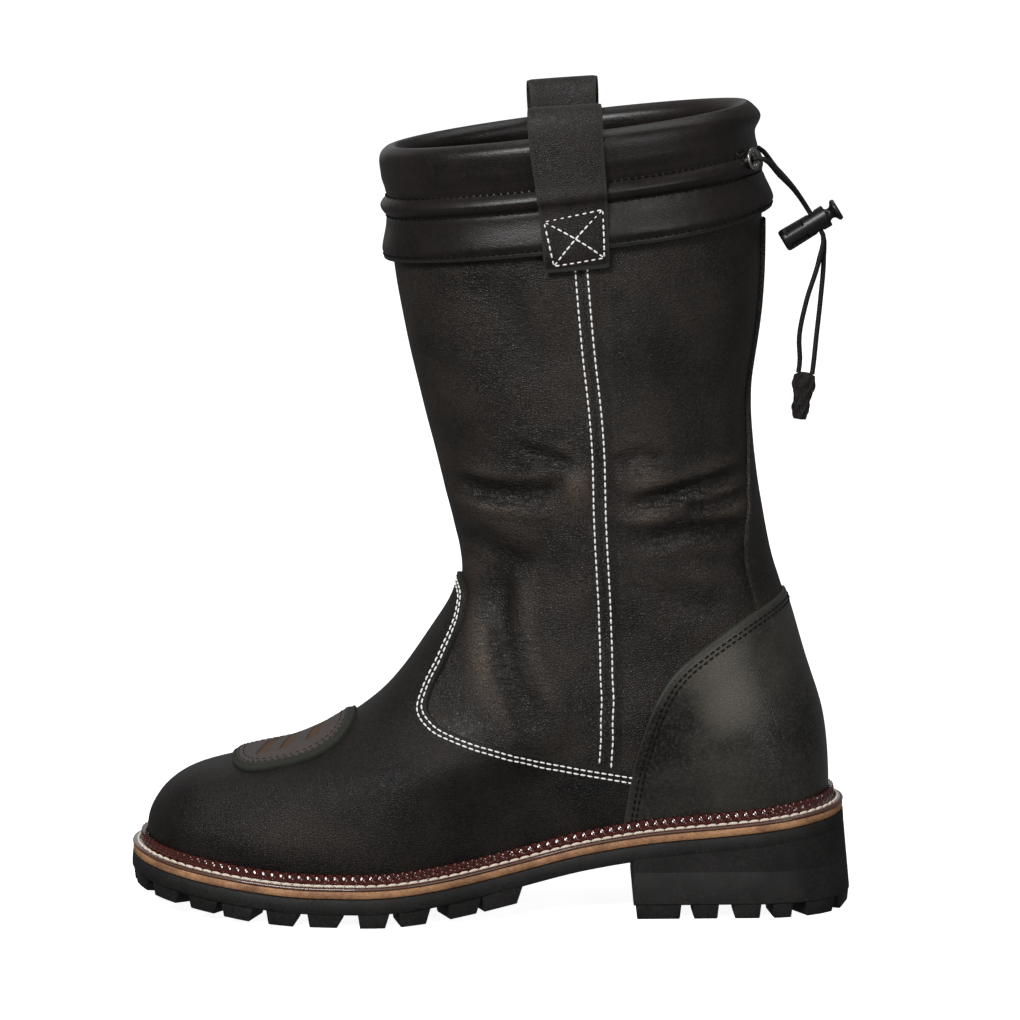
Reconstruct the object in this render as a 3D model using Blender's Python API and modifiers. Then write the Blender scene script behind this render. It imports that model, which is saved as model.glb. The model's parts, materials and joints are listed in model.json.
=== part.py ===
"""Left motorcycle boot: a hollow leather upper on a welted, lugged rubber sole.

The toe points to -X, the heel to +X, the outer side to -Y and up is +Z. The named sizes and
the tables are in millimetres, and each mesh is turned into metres when it is made.
"""

import math
from collections import namedtuple
from functools import lru_cache

import bmesh
import bpy
import numpy as np
from mathutils import Matrix, Vector

MM = 0.001
GAP = 0.3

# Upper
COLUMNS = 36
END_CLUSTER = 0.45
WALL = 1.8
VAMP = 2.0
COUNTER = 2.0
STAY = 1.4
PAD = 2.2
FORE_AT, WAIST_AT, HEEL_AT = 0.30, 0.58, 0.84

# Sole
SOLE_MARGIN = 10.0
SHEET = 6.9
MIDSOLE = 3.2
WELT = 2.6
LIP_HEIGHT = 4.6
LIP = 2.2
INSOLE_RISE = 2.0
BREAST_X = 62.0
LIFT_TOP = 21.0
LIFT_SOLID = 6.4
HEEL_LEAN = 3.5
LUG_REACH = 22.0
LUG_DRAFT = 0.9
TOE_LUGS = 3
TOE_LUG_FILL = 0.68

# Sections of the upper from the feather line up to the collar. The ends stand a rise above the
# ends of the feather line, and the widths are across the ball, the waist and the heel. Nose and
# tail are the lengths of the rounded ends, and follow is how far a section keeps the sole's curve.
Section = namedtuple(
    "Section",
    "name front_x front_rise back_x back_rise fore waist heel nose tail power follow",
)
SECTIONS = (
    Section("feather", -148.5, 0.0, 145.0, 0.0, 92.0, 54.0, 57.0, 64.0, 31.0, 2.20, 1.00),
    Section("lip", -149.2, 6.5, 145.2, 6.5, 95.0, 57.0, 60.0, 66.0, 32.0, 2.20, 1.00),
    Section("toe wall", -147.3, 14.0, 145.0, 13.5, 97.0, 60.0, 62.5, 68.0, 33.0, 2.20, 0.95),
    Section("toe shoulder", -141.0, 23.0, 144.6, 20.5, 96.5, 63.0, 64.5, 73.0, 34.0, 2.10, 0.82),
    Section("toe top", -130.5, 30.0, 144.0, 27.0, 95.0, 66.0, 65.5, 79.0, 35.0, 2.05, 0.65),
    Section("pad front", -112.5, 35.0, 143.2, 33.0, 93.0, 69.0, 66.5, 82.0, 36.0, 2.00, 0.45),
    Section("pad middle", -91.5, 39.5, 142.0, 39.0, 90.0, 71.0, 67.0, 78.0, 37.0, 2.00, 0.28),
    Section("pad back", -71.5, 48.0, 140.0, 46.0, 86.0, 72.5, 67.5, 72.0, 38.0, 2.00, 0.15),
    Section("instep", -51.2, 61.5, 136.8, 55.5, 81.0, 73.5, 68.5, 64.0, 40.0, 2.00, 0.07),
    Section("instep top", -37.8, 75.0, 133.2, 67.0, 78.0, 74.5, 70.0, 58.0, 43.0, 2.00, 0.03),
    Section("throat", -24.5, 94.0, 129.2, 81.0, 77.0, 77.0, 73.0, 55.0, 47.0, 2.00, 0.0),
    Section("ankle front", -15.0, 110.0, 125.0, 94.5, 79.0, 80.0, 77.0, 58.0, 53.0, 2.00, 0.0),
    Section("ankle", -12.6, 124.0, 121.0, 107.0, 83.0, 83.0, 82.0, 64.0, 60.0, 2.00, 0.0),
    Section("ankle top", -16.0, 141.5, 117.8, 122.0, 87.0, 87.0, 87.0, 66.0, 66.0, 2.05, 0.0),
    Section("calf low", -23.0, 169.5, 113.6, 147.5, 92.0, 92.0, 92.0, 68.0, 68.0, 2.10, 0.0),
    Section("calf", -31.3, 202.5, 111.6, 180.5, 98.0, 98.0, 98.0, 71.0, 71.0, 2.10, 0.0),
    Section("calf high", -38.6, 235.5, 116.4, 219.0, 105.0, 105.0, 105.0, 77.0, 77.0, 2.10, 0.0),
    Section("cuff edge", -42.3, 259.0, 117.3, 256.0, 110.0, 110.0, 110.0, 79.5, 79.5, 2.10, 0.0),
    Section("cuff", -43.5, 280.9, 115.0, 279.0, 111.5, 111.5, 111.5, 79.5, 79.5, 2.10, 0.0),
    Section("collar", -44.0, 302.8, 110.6, 301.2, 111.5, 111.5, 111.5, 78.0, 78.0, 2.10, 0.0),
)
TOP = len(SECTIONS) - 1

# The sole along its length: top of the rubber, underside of the lugs, and how far the foot's
# middle line swings from straight.
Station = namedtuple("Station", "x top ground swing")
STATIONS = (
    Station(-158.0, 22.0, 9.5, 7.5),
    Station(-140.0, 19.0, 6.6, 6.0),
    Station(-120.0, 16.4, 3.8, 4.5),
    Station(-100.0, 14.2, 1.2, 2.5),
    Station(-84.0, 12.9, 0.0, 0.8),
    Station(-64.0, 12.7, 0.0, -1.5),
    Station(-42.0, 13.3, 0.0, -3.5),
    Station(-20.0, 15.6, 2.0, -4.5),
    Station(10.0, 21.2, 7.4, -5.0),
    Station(40.0, 28.6, 15.0, -4.0),
    Station(62.0, 32.4, 0.0, -2.5),
    Station(110.0, 37.0, 0.0, 0.0),
    Station(160.0, 43.0, 0.0, 0.0),
)

# Lugs on one side, as runs along the length.
Run = namedtuple("Run", "start end")
FORE_LUGS = (
    Run(-147.5, -138.0),
    Run(-131.0, -120.5),
    Run(-116.0, -105.0),
    Run(-96.5, -85.5),
    Run(-78.5, -66.5),
    Run(-56.5, -45.5),
    Run(-38.7, -27.6),
    Run(-17.3, -5.8),
    Run(-2.5, 11.5),
)
HEEL_LUGS = (Run(87.4, 97.3), Run(104.6, 115.0), Run(121.0, 128.7), Run(135.6, 146.8))
BREAST_BAR = Run(62.6, 82.3)
BACK_LUG_FROM = 150.5
MIDDLE_LUG = Run(96.0, 122.0)

# Free edges of the overlays in side view. The vamp's runs from the front of the ankle down and
# back, and the counter's from the welt up to the back.
Edge = namedtuple("Edge", "x z")
VAMP_EDGE = (
    Edge(-24.0, 149.6),
    Edge(-14.0, 147.6),
    Edge(-10.4, 141.0),
    Edge(-10.8, 134.5),
    Edge(-18.7, 112.3),
    Edge(-25.5, 98.0),
    Edge(-27.2, 91.5),
    Edge(-23.5, 86.6),
    Edge(-14.5, 82.2),
    Edge(2.0, 77.8),
    Edge(29.5, 70.5),
    Edge(72.0, 62.4),
)
COUNTER_EDGE = (
    Edge(54.6, 26.0),
    Edge(57.4, 42.3),
    Edge(61.3, 63.9),
    Edge(66.1, 81.0),
    Edge(72.0, 96.7),
    Edge(79.8, 108.8),
    Edge(90.3, 118.2),
    Edge(118.7, 136.0),
    Edge(128.4, 140.2),
    Edge(146.0, 146.0),
)

# The back stay's half width up the shaft.
Strip = namedtuple("Strip", "z half")
STAY_EDGE = (
    Strip(118.0, 24.0),
    Strip(136.0, 23.2),
    Strip(161.0, 20.8),
    Strip(190.0, 14.4),
    Strip(215.0, 9.0),
    Strip(260.0, 7.5),
    Strip(320.0, 7.5),
)

# The shift pad in plan.
PAD_CENTRE = (-86.3, 1.0)
PAD_HALF = (27.3, 28.5)
PAD_POWER = 3.0

# The cuff's cross-section, as heights above the collar and offsets out of the wall: along the
# sides and front, and at the back, where the cord draws it in.
LEVEL_HEIGHT = 22.0
BACK_NEAR, BACK_FAR = 0.04, 0.2
Fold = namedtuple("Fold", "name height offset back_height back_offset")
CUFF = (
    Fold("edge inside", -45.0, 0.35, -41.5, 0.35),
    Fold("edge", -45.0, 2.6, -41.5, 2.9),
    Fold("lower seam", -26.4, 2.4, -25.4, 2.1),
    Fold("cord channel", -22.0, 4.6, -21.0, 2.8),
    Fold("upper seam", -17.6, 2.4, -16.6, 2.0),
    Fold("roll", -8.5, 3.9, -9.0, 1.8),
    Fold("shoulder", 1.5, 3.2, -1.0, 5.0),
    Fold("crest", 4.0, -0.9, 4.2, 0.6),
    Fold("inner shoulder", 1.5, -5.0, 1.5, -4.0),
    Fold("inner roll", -9.0, -5.2, -9.0, -4.6),
    Fold("facing edge", -20.0, -3.6, -20.0, -3.6),
    Fold("facing inside", -20.0, -2.2, -20.0, -2.2),
    Fold("rim inside", 0.4, -2.2, 0.4, -2.2),
    Fold("rim outside", 0.4, 0.35, 0.4, 0.35),
    Fold("wall", -22.0, 0.35, -22.0, 0.35),
    Fold("lower wall", -44.0, 0.35, -40.5, 0.35),
)
EYELET = Fold("eyelet", -19.5, 4.4, -18.5, 2.8)

# The pull straps: the middle line from the sewn foot over the top and down inside with the
# width, then where each strap is and how its top is raised and levelled.
STRAP = 2.2
STRAP_LEAN = 1.2
Bend = namedtuple("Bend", "name height offset width")
PULL_STRAP = (
    Bend("foot", -50.5, 2.6, 27.0),
    Bend("cuff edge", -44.0, 4.4, 27.4),
    Bend("lower seam", -27.0, 4.6, 28.2),
    Bend("cord channel", -22.0, 6.4, 28.5),
    Bend("upper seam", -16.5, 5.9, 28.8),
    Bend("roll", -8.0, 5.8, 29.4),
    Bend("shoulder", 1.5, 5.6, 30.2),
    Bend("standing", 9.5, 5.0, 31.0),
    Bend("bend", 15.4, 3.0, 31.6),
    Bend("top", 17.6, -0.9, 32.0),
    Bend("inner bend", 15.4, -4.8, 31.6),
    Bend("inner standing", 9.0, -6.8, 31.0),
    Bend("inner shoulder", 0.0, -7.4, 30.2),
    Bend("inner roll", -10.0, -7.2, 29.4),
    Bend("inner foot", -24.0, -6.4, 28.4),
)
Strap = namedtuple("Strap", "node at rise level")
STRAPS = (
    Strap("pull_loop_lateral", 0.248, -2.2, -1.7),
    Strap("pull_loop_medial", 0.752, 0.9, 1.7),
)

# Drawcord: two strands from the eyelets through the cord lock to the tab.
CORD = 2.2
STRAND_APART = 1.35
EYELET_AT = 0.415
EYELET_RING = 4.0
EYELET_WIRE = 1.0
LOCK_AT = (140.7, 300.4)
LOCK_TILT = math.radians(58.6)
LOCK_SPLIT = 16.5
Turn = namedtuple("Turn", "radius along")
BARREL = (
    Turn(0.0, 0.0),
    Turn(4.6, 0.0),
    Turn(5.0, 0.6),
    Turn(4.6, 22.0),
    Turn(3.5, 22.0),
    Turn(3.5, 3.0),
    Turn(0.0, 3.0),
)
PLUNGER = (
    Turn(0.0, 8.0),
    Turn(3.42, 8.0),
    Turn(3.42, 22.4),
    Turn(2.5, 23.4),
    Turn(2.7, 24.8),
    Turn(4.9, 26.2),
    Turn(4.9, 27.4),
    Turn(4.1, 28.0),
    Turn(0.0, 28.0),
)
PRESS = 3.0
Point = namedtuple("Point", "x y z")
STRAND_TO_LOCK = (Point(124.5, 16.0, 322.0), Point(132.0, 6.5, 313.8))
OUTER_STRAND = (
    Point(142.2, -1.6, 284.0),
    Point(136.8, -1.5, 265.7),
    Point(133.9, -1.0, 249.5),
)
INNER_STRAND = (
    Point(144.4, 1.6, 284.0),
    Point(143.3, 1.5, 268.0),
    Point(141.4, 1.0, 249.5),
)
TAB_TOP = Point(136.7, 0.0, 234.0)
TAB_TILT = math.radians(7.0)
TAB_THICK = 4.4
TAB_CORDS = 3.0
Width = namedtuple("Width", "along half")
TAB = (
    Width(0.0, 4.4),
    Width(-3.4, 5.2),
    Width(-9.0, 4.6),
    Width(-17.5, 3.5),
    Width(-19.8, 2.6),
)

# Finishes of the pieces
Finish = namedtuple("Finish", "colour roughness metallic")
FINISHES = {
    "Rubber": Finish((0.016, 0.015, 0.014), 0.65, 0.0),
    "Tan leather": Finish((0.42, 0.22, 0.09), 0.6, 0.0),
    "Storm welt": Finish((0.06, 0.012, 0.008), 0.25, 0.0),
    "Lining": Finish((0.05, 0.045, 0.04), 0.9, 0.0),
    "Black leather": Finish((0.022, 0.019, 0.018), 0.45, 0.0),
    "Counter leather": Finish((0.026, 0.027, 0.024), 0.45, 0.0),
    "Cuff leather": Finish((0.014, 0.012, 0.011), 0.35, 0.0),
    "Strap leather": Finish((0.03, 0.027, 0.025), 0.5, 0.0),
    "Pad leather": Finish((0.095, 0.075, 0.08), 0.6, 0.0),
    "Eyelet metal": Finish((0.5, 0.5, 0.5), 0.25, 1.0),
    "Cord": Finish((0.014, 0.013, 0.012), 0.7, 0.0),
    "Lock plastic": Finish((0.015, 0.014, 0.014), 0.4, 0.0),
}


def section_at(level):
    """The sections' columns at a level between 0, the feather line, and TOP, the collar."""
    columns = np.array([row[1:] for row in SECTIONS])
    levels = np.arange(len(SECTIONS), dtype=float)
    values = [float(through(levels, column, level)) for column in columns.T]
    return Section("", *values)


def through(knots, values, at):
    """A smooth curve through the values at the knots, read at other places."""
    knots = np.asarray(knots, float)
    values = np.asarray(values, float)
    slopes = np.gradient(values, knots)
    step = np.clip(np.searchsorted(knots, at, side="right") - 1, 0, len(knots) - 2)
    span = knots[step + 1] - knots[step]
    t = np.clip((at - knots[step]) / span, 0.0, 1.0)
    start = (1 + 2 * t) * (1 - t) ** 2 * values[step]
    end = t * t * (3 - 2 * t) * values[step + 1]
    lean = t * (1 - t) ** 2 * slopes[step] + t * t * (t - 1) * slopes[step + 1]
    return start + end + span * lean


def along_sole(column, x):
    return through([row.x for row in STATIONS], [getattr(row, column) for row in STATIONS], x)


def sole_top(x):
    return along_sole("top", x)


def ground(x):
    return np.maximum(along_sole("ground", x), 0.0)


def sheet_bottom(x):
    return sole_top(x) - SHEET


def midsole_bottom(x):
    return sole_top(x) + GAP


def midsole_top(x):
    return midsole_bottom(x) + MIDSOLE


def welt_bottom(x):
    return midsole_top(x) + GAP


def welt_top(x):
    return welt_bottom(x) + WELT


def feather(x):
    return welt_top(x) + GAP


def sag(x):
    """How far the feather line lies from the straight line between its ends."""
    low, high = SECTIONS[0].front_x, SECTIONS[0].back_x
    share = (x - low) / (high - low)
    return feather(x) - feather(low) - (feather(high) - feather(low)) * share


def ease(low, high, t):
    s = np.clip((t - low) / (high - low), 0.0, 1.0)
    return s * s * (3 - 2 * s)


def round_end(reach, power):
    s = np.clip(reach, 0.0, 1.0)
    return (1 - (1 - s) ** power) ** (1 / power)


@lru_cache(maxsize=None)
def half_loop(level, side):
    """One side of a section from front to back, with each point's share of the length."""
    row = section_at(level)
    t = 0.5 - 0.5 * np.cos(np.linspace(0.0, math.pi, 241))
    length = row.back_x - row.front_x
    x = row.front_x + length * t
    width = row.fore + (row.waist - row.fore) * ease(FORE_AT, WAIST_AT, t)
    width = width + (row.heel - row.waist) * ease(WAIST_AT, HEEL_AT, t)
    ends = round_end(t * length / row.nose, row.power)
    ends = ends * round_end((1 - t) * length / row.tail, row.power)
    y = row.follow * along_sole("swing", x) + side * 0.5 * width * ends
    front_z = feather(SECTIONS[0].front_x) + row.front_rise
    back_z = feather(SECTIONS[0].back_x) + row.back_rise
    bend = sag(x) - sag(row.front_x) * (1 - t) - sag(row.back_x) * t
    z = front_z * (1 - t) + back_z * t + row.follow * bend
    points = np.stack([x, y, z], axis=1)
    steps = np.linalg.norm(np.diff(points, axis=0), axis=1)
    share = np.concatenate([[0.0], np.cumsum(steps)])
    return points, share / share[-1]


def surface(u, level):
    """Points of the upper's outside: u runs 0 to 1 from the toe over the outer side to the heel
    and back over the inner side."""
    u = np.mod(np.asarray(u, float), 1.0)
    half = np.where(u <= 0.5, 2 * u, 2 - 2 * u)
    share = half - END_CLUSTER * np.sin(2 * math.pi * half) / (2 * math.pi)
    sides = []
    for side in (-1, 1):
        points, shares = half_loop(round(float(level), 6), side)
        sides.append(np.stack([np.interp(share, shares, axis) for axis in points.T], axis=1))
    return np.where((u <= 0.5)[:, None], sides[0], sides[1])


def outward(u, level):
    u = np.asarray(u, float)
    around = surface(u + 0.002, level) - surface(u - 0.002, level)
    up = surface(u, min(level + 0.05, TOP)) - surface(u, max(level - 0.05, 0.0))
    normal = np.cross(around, up)
    return normal / np.linalg.norm(normal, axis=1, keepdims=True)


def skin(u, level, offset):
    return surface(u, level) + offset * outward(u, level)


def outline(u, margin):
    """The feather line in plan, moved out by a margin."""
    points = surface(u, 0.0)[:, :2]
    along = surface(np.asarray(u) + 0.002, 0.0) - surface(np.asarray(u) - 0.002, 0.0)
    normal = np.stack([along[:, 1], -along[:, 0]], axis=1)
    return points + margin * normal / np.linalg.norm(normal, axis=1, keepdims=True)


def sole_ring(u, margin, height):
    plan = outline(u, margin)
    return np.column_stack([plan, height(plan[:, 0])])


def around():
    return np.arange(COLUMNS) / COLUMNS


def loft(rings, closed=False):
    """Points and faces through rings of equal length, each closed on itself."""
    count = len(rings[0])
    faces = []
    for row in range(len(rings) if closed else len(rings) - 1):
        low = row * count
        high = (row + 1) % len(rings) * count
        for near in range(count):
            far = (near + 1) % count
            faces.append((low + near, low + far, high + far))
            faces.append((low + near, high + far, high + near))
    return np.concatenate(rings), faces


def slab(rings, left, right):
    """A loft closed at both ends by strips from the left to the right edge."""
    points, faces = loft(rings)
    top = (len(rings) - 1) * len(rings[0])
    for k in range(len(left) - 1):
        corners = [left[k], left[k + 1], right[k + 1], right[k]]
        for cap in ((0, 1, 2), (0, 2, 3)):
            face = [corners[i] for i in cap]
            if len(set(face)) == 3:
                faces.append(tuple(top + i for i in face))
                faces.append(tuple(reversed(face)))
    return points, faces


def whole_slab(rings):
    half = COLUMNS // 2
    left = list(range(half + 1))
    right = [0] + list(range(COLUMNS - 1, half - 1, -1))
    return slab(rings, left, right)


def new_collection(name, hidden=False):
    found = bpy.data.collections.new(name)
    found.hide_render = hidden
    bpy.context.scene.collection.children.link(found)
    return found


def linked(name, data, collection):
    made = bpy.data.objects.new(name, data)
    collection.objects.link(made)
    return made


def new_object(name, points, faces, collection):
    mesh = bpy.data.meshes.new(name)
    mesh.from_pydata((np.asarray(points) * MM).tolist(), [], faces)
    mesh.validate()
    return linked(name, mesh, collection)


def new_closed(name, points, faces, collection):
    """A closed mesh whose faces are turned to point outwards."""
    made = new_object(name, points, faces, collection)
    bm = bmesh.new()
    bm.from_mesh(made.data)
    bmesh.ops.recalc_face_normals(bm, faces=bm.faces)
    bm.to_mesh(made.data)
    bm.free()
    return made


def new_material(name):
    finish = FINISHES[name]
    material = bpy.data.materials.new(name)
    material.use_nodes = True
    shader = material.node_tree.nodes["Principled BSDF"]
    shader.inputs["Base Color"].default_value = (*finish.colour, 1.0)
    shader.inputs["Roughness"].default_value = finish.roughness
    shader.inputs["Metallic"].default_value = finish.metallic
    return material


def boolean(target, cutter, operation):
    modifier = target.modifiers.new(cutter.name, "BOOLEAN")
    modifier.operation = operation
    modifier.object = cutter
    modifier.solver = "EXACT"


def hull_blocks(name, blocks, collection):
    """One mesh of separate convex blocks, each the hull of its corner points."""
    bm = bmesh.new()
    for corners in blocks:
        verts = [bm.verts.new(Vector(corner) * MM) for corner in corners]
        bmesh.ops.convex_hull(bm, input=verts)
    mesh = bpy.data.meshes.new(name)
    bm.to_mesh(mesh)
    bm.free()
    return linked(name, mesh, collection)


def lug(low_plan, high_plan, low, high):
    """Corners of one lug: its foot drawn in from its root by the draft."""
    corners = [(x, y, float(low(x))) for x, y in low_plan]
    return corners + [(x, y, float(high(x))) for x, y in high_plan]


def edge_lug(start, end, margin, low, high, flare=(0.08, 0.08), lean=lambda plan: plan):
    """A lug on the sole's edge between two places on the outline: its root is wider than its
    foot by a share of its length at either end."""
    blocks = []
    for inset, spread in ((LUG_DRAFT, 0.0), (0.0, end - start)):
        u = np.linspace(start - spread * flare[0], end + spread * flare[1], 3)
        outer = outline(u, margin - inset)
        inner = outline(u[::-1], margin - LUG_REACH + inset)
        blocks.append(lean(np.concatenate([outer, inner])))
    return lug(blocks[0], blocks[1], low, high)


def plan_box(run, half_width, inset):
    start, end = run.start + inset, run.end - inset
    half = half_width - inset
    return [(start, -half), (end, -half), (end, half), (start, half)]


def outline_place(x, margin, side):
    """Where along u the outline, moved out by a margin, passes a given x on one side."""
    u = np.linspace(0.02, 0.5, 600)
    if side > 0:
        u = 1.0 - u
    plan = outline(u, margin)[:, 0]
    rising = np.maximum.accumulate(plan)
    return float(np.interp(x, rising, u))


def build_outsole(parts, cutters):
    u = around()
    rings = [
        sole_ring(u, SOLE_MARGIN, sheet_bottom),
        sole_ring(u, SOLE_MARGIN - 0.5, sole_top),
    ]
    outsole = new_object("outsole", *whole_slab(rings), parts)

    def root(x):
        return sheet_bottom(x) + 2.0

    blocks = []
    margin = SOLE_MARGIN - 0.4
    for run in FORE_LUGS:
        outer = [outline_place(x, margin, -1) for x in run]
        blocks.append(edge_lug(outer[0], outer[1], margin, ground, root, (0.10, 0.22)))
        inner = [outline_place(x, margin, 1) for x in run]
        blocks.append(edge_lug(inner[1], inner[0], margin, ground, root, (0.22, 0.10)))
    tip = [outline_place(FORE_LUGS[0].start - 2.0, margin, side) for side in (-1, 1)]
    edges = np.linspace(tip[1] - 1.0, tip[0], TOE_LUGS + 1)
    slack = (edges[1] - edges[0]) * (1 - TOE_LUG_FILL) / 2
    for start, end in zip(edges[:-1], edges[1:]):
        blocks.append(edge_lug(start + slack, end - slack, margin, ground, root))
    for start in np.arange(-112.0, -5.0, 19.0):
        run = Run(start, start + 10.0)
        swing = along_sole("swing", start)
        half = 19.0 if start > -100 else 14.0
        low = [(x, y + swing) for x, y in plan_box(run, half, LUG_DRAFT)]
        high = [(x, y + swing) for x, y in plan_box(run, half, 0.0)]
        blocks.append(lug(low, high, ground, root))
    boolean(outsole, hull_blocks("outsole_lugs", blocks, cutters), "UNION")
    return outsole


def lean_heel(points):
    """Moves the heel's points back as they near the floor."""
    moved = np.array(points)
    drop = 1 - moved[:, 2] / 38.0
    moved[:, 0] += HEEL_LEAN * drop * np.clip((moved[:, 0] - BREAST_X) / 93.0, 0.0, None)
    return moved


def heel_ring(margin, height):
    side = 9
    outer = outline_place(BREAST_X, margin, -1)
    inner = outline_place(BREAST_X, margin, 1)
    u = np.concatenate([np.linspace(outer, 0.5, side), np.linspace(0.5, inner, side)[1:]])
    return lean_heel(sole_ring(u, margin, height))


def heel_slab(name, rings, parts):
    count = len(rings[0])
    half = count // 2
    left = list(range(half + 1))
    right = list(range(count - 1, half - 1, -1))
    return new_object(name, *slab(rings, left, right), parts)


def build_heel(parts, cutters):
    block = heel_slab(
        "heel_block",
        [
            heel_ring(SOLE_MARGIN, lambda x: 0 * x + LIFT_TOP + GAP),
            heel_ring(SOLE_MARGIN, lambda x: sheet_bottom(x) - GAP),
        ],
        parts,
    )
    lift = heel_slab(
        "heel_lift",
        [
            heel_ring(SOLE_MARGIN, lambda x: 0 * x + LIFT_SOLID),
            heel_ring(SOLE_MARGIN, lambda x: 0 * x + LIFT_TOP),
        ],
        parts,
    )

    def floor(x):
        return 0.0

    def root(x):
        return LIFT_SOLID + 2.0

    def lean(plan):
        flat = np.column_stack([plan, np.zeros(len(plan))])
        return lean_heel(flat)[:, :2]

    margin = SOLE_MARGIN - 0.4
    blocks = []
    bar = []
    for inset in (LUG_DRAFT, 0.0):
        corners = []
        for side in (-1, 1):
            ends = (BREAST_BAR.start + inset, BREAST_BAR.end - inset)
            places = [outline_place(x, margin - inset, side) for x in ends[::side]]
            corners.extend(outline(np.array(places), margin - inset))
        bar.append(lean(np.array(corners)))
    blocks.append(lug(bar[0], bar[1], floor, root))
    for run in HEEL_LUGS:
        for side in (-1, 1):
            places = [outline_place(x, margin, side) for x in run]
            blocks.append(edge_lug(min(places), max(places), margin, floor, root, lean=lean))
    back = [outline_place(BACK_LUG_FROM, margin, side) for side in (-1, 1)]
    blocks.append(edge_lug(back[0], back[1], margin, floor, root, lean=lean))
    middle = [plan_box(MIDDLE_LUG, 11.0, inset) for inset in (LUG_DRAFT, 0.0)]
    blocks.append(lug(middle[0], middle[1], floor, root))
    boolean(lift, hull_blocks("heel_lugs", blocks, cutters), "UNION")
    return block, lift


def build_midsole(parts):
    u = around()
    rings = [
        sole_ring(u, SOLE_MARGIN - 0.6, midsole_bottom),
        sole_ring(u, SOLE_MARGIN - 0.6, midsole_top),
    ]
    return new_object("midsole", *whole_slab(rings), parts)


def build_welt(parts):
    u = around()
    level = (LIP_HEIGHT - GAP) / SECTIONS[1].front_rise
    lap = GAP + max(VAMP, COUNTER) + GAP + 0.05
    rings = [
        sole_ring(u, SOLE_MARGIN - 0.3, welt_bottom),
        sole_ring(u, SOLE_MARGIN - 0.5, welt_top),
        sole_ring(u, lap + LIP + 0.4, welt_top),
        skin(u, level, lap + LIP),
        skin(u, level, lap),
        sole_ring(u, lap + 0.05, welt_top),
        sole_ring(u, -WALL - 0.1, welt_top),
        sole_ring(u, -WALL - 0.1, welt_bottom),
    ]
    return new_object("welt", *loft(rings, closed=True), parts)


def build_insole(parts):
    u = around()
    rings = [
        sole_ring(u, -WALL - 0.1 - GAP, lambda x: midsole_top(x) + GAP),
        sole_ring(u, -WALL - 0.1 - GAP, lambda x: feather(x) + INSOLE_RISE),
    ]
    return new_object("insole", *whole_slab(rings), parts)


def build_upper(parts):
    u = around()
    rings = [surface(u, level) for level in range(TOP + 1)]
    upper = new_object("upper", *loft(rings), parts)
    wall = upper.modifiers.new("wall", "SOLIDIFY")
    wall.thickness = WALL * MM
    wall.offset = -1.0
    return upper


def smooth_line(points, count):
    """Points along a smooth line through a few given ones."""
    points = np.asarray(points, float)
    steps = np.linalg.norm(np.diff(points, axis=0), axis=1)
    share = np.concatenate([[0.0], np.cumsum(steps)])
    at = np.linspace(0.0, share[-1], count)
    return np.stack([through(share, axis, at) for axis in points.T], axis=1)


def prism(name, outline_points, axis, low, high, collection):
    """A flat outline drawn out along an axis: it lies in x and z for y, in y and z for x, and in
    x and y for z."""
    place = {
        "x": lambda a, b: Vector((low, a, b)),
        "y": lambda a, b: Vector((a, low, b)),
        "z": lambda a, b: Vector((a, b, low)),
    }[axis]
    along = Vector([high - low if name_of == axis else 0.0 for name_of in "xyz"])
    bm = bmesh.new()
    verts = [bm.verts.new(place(float(a), float(b)) * MM) for a, b in outline_points]
    face = bm.faces.new(verts)
    grown = bmesh.ops.extrude_face_region(bm, geom=[face])["geom"]
    moved = [item for item in grown if isinstance(item, bmesh.types.BMVert)]
    bmesh.ops.translate(bm, verts=moved, vec=along * MM)
    bmesh.ops.recalc_face_normals(bm, faces=bm.faces)
    mesh = bpy.data.meshes.new(name)
    bm.to_mesh(mesh)
    bm.free()
    return linked(name, mesh, collection)


def seat_line(start, end, count):
    """Side-view points along the feather line."""
    x = np.linspace(start, end, count)
    return list(zip(x, feather(x)))


def counter_outline(grow):
    """The counter in side view, its free edge moved forwards and up."""
    edge = smooth_line(COUNTER_EDGE, 18) + np.array([-grow, grow])
    edge = [(x, z) for x, z in edge if z > feather(x)]
    return seat_line(edge[0][0], 165.0, 8) + [(165.0, edge[-1][1])] + edge[::-1]


def vamp_outline():
    """The vamp in side view: it stops just short of the counter."""
    edge = [tuple(point) for point in smooth_line(VAMP_EDGE, 28)]
    behind = smooth_line(COUNTER_EDGE, 18) + np.array([-0.45, 0.0])
    top = through([point[0] for point in edge[-9:]], [point[1] for point in edge[-9:]], behind[:, 0])
    behind = [(x, z) for (x, z), limit in zip(behind, top) if feather(x) < z < limit]
    edge = [point for point in edge if point[1] > 70.0 or point[0] < behind[-1][0] - 0.5]
    seat = seat_line(-170.0, behind[0][0], 20)
    return seat + behind + edge[::-1] + [(-170.0, VAMP_EDGE[0].z)]


def overlay(name, levels, lift, thickness, cutter, parts):
    """A sheet over the upper between two of its offsets, cut to an outline."""
    rings = [surface(around(), level) for level in levels]
    piece = new_object(name, *loft(rings), parts)
    raised = piece.modifiers.new("lift", "DISPLACE")
    raised.mid_level = 0.0
    raised.strength = lift * MM
    sheet = piece.modifiers.new("sheet", "SOLIDIFY")
    sheet.thickness = thickness * MM
    sheet.offset = 1.0
    boolean(piece, cutter, "INTERSECT")
    return piece


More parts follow.
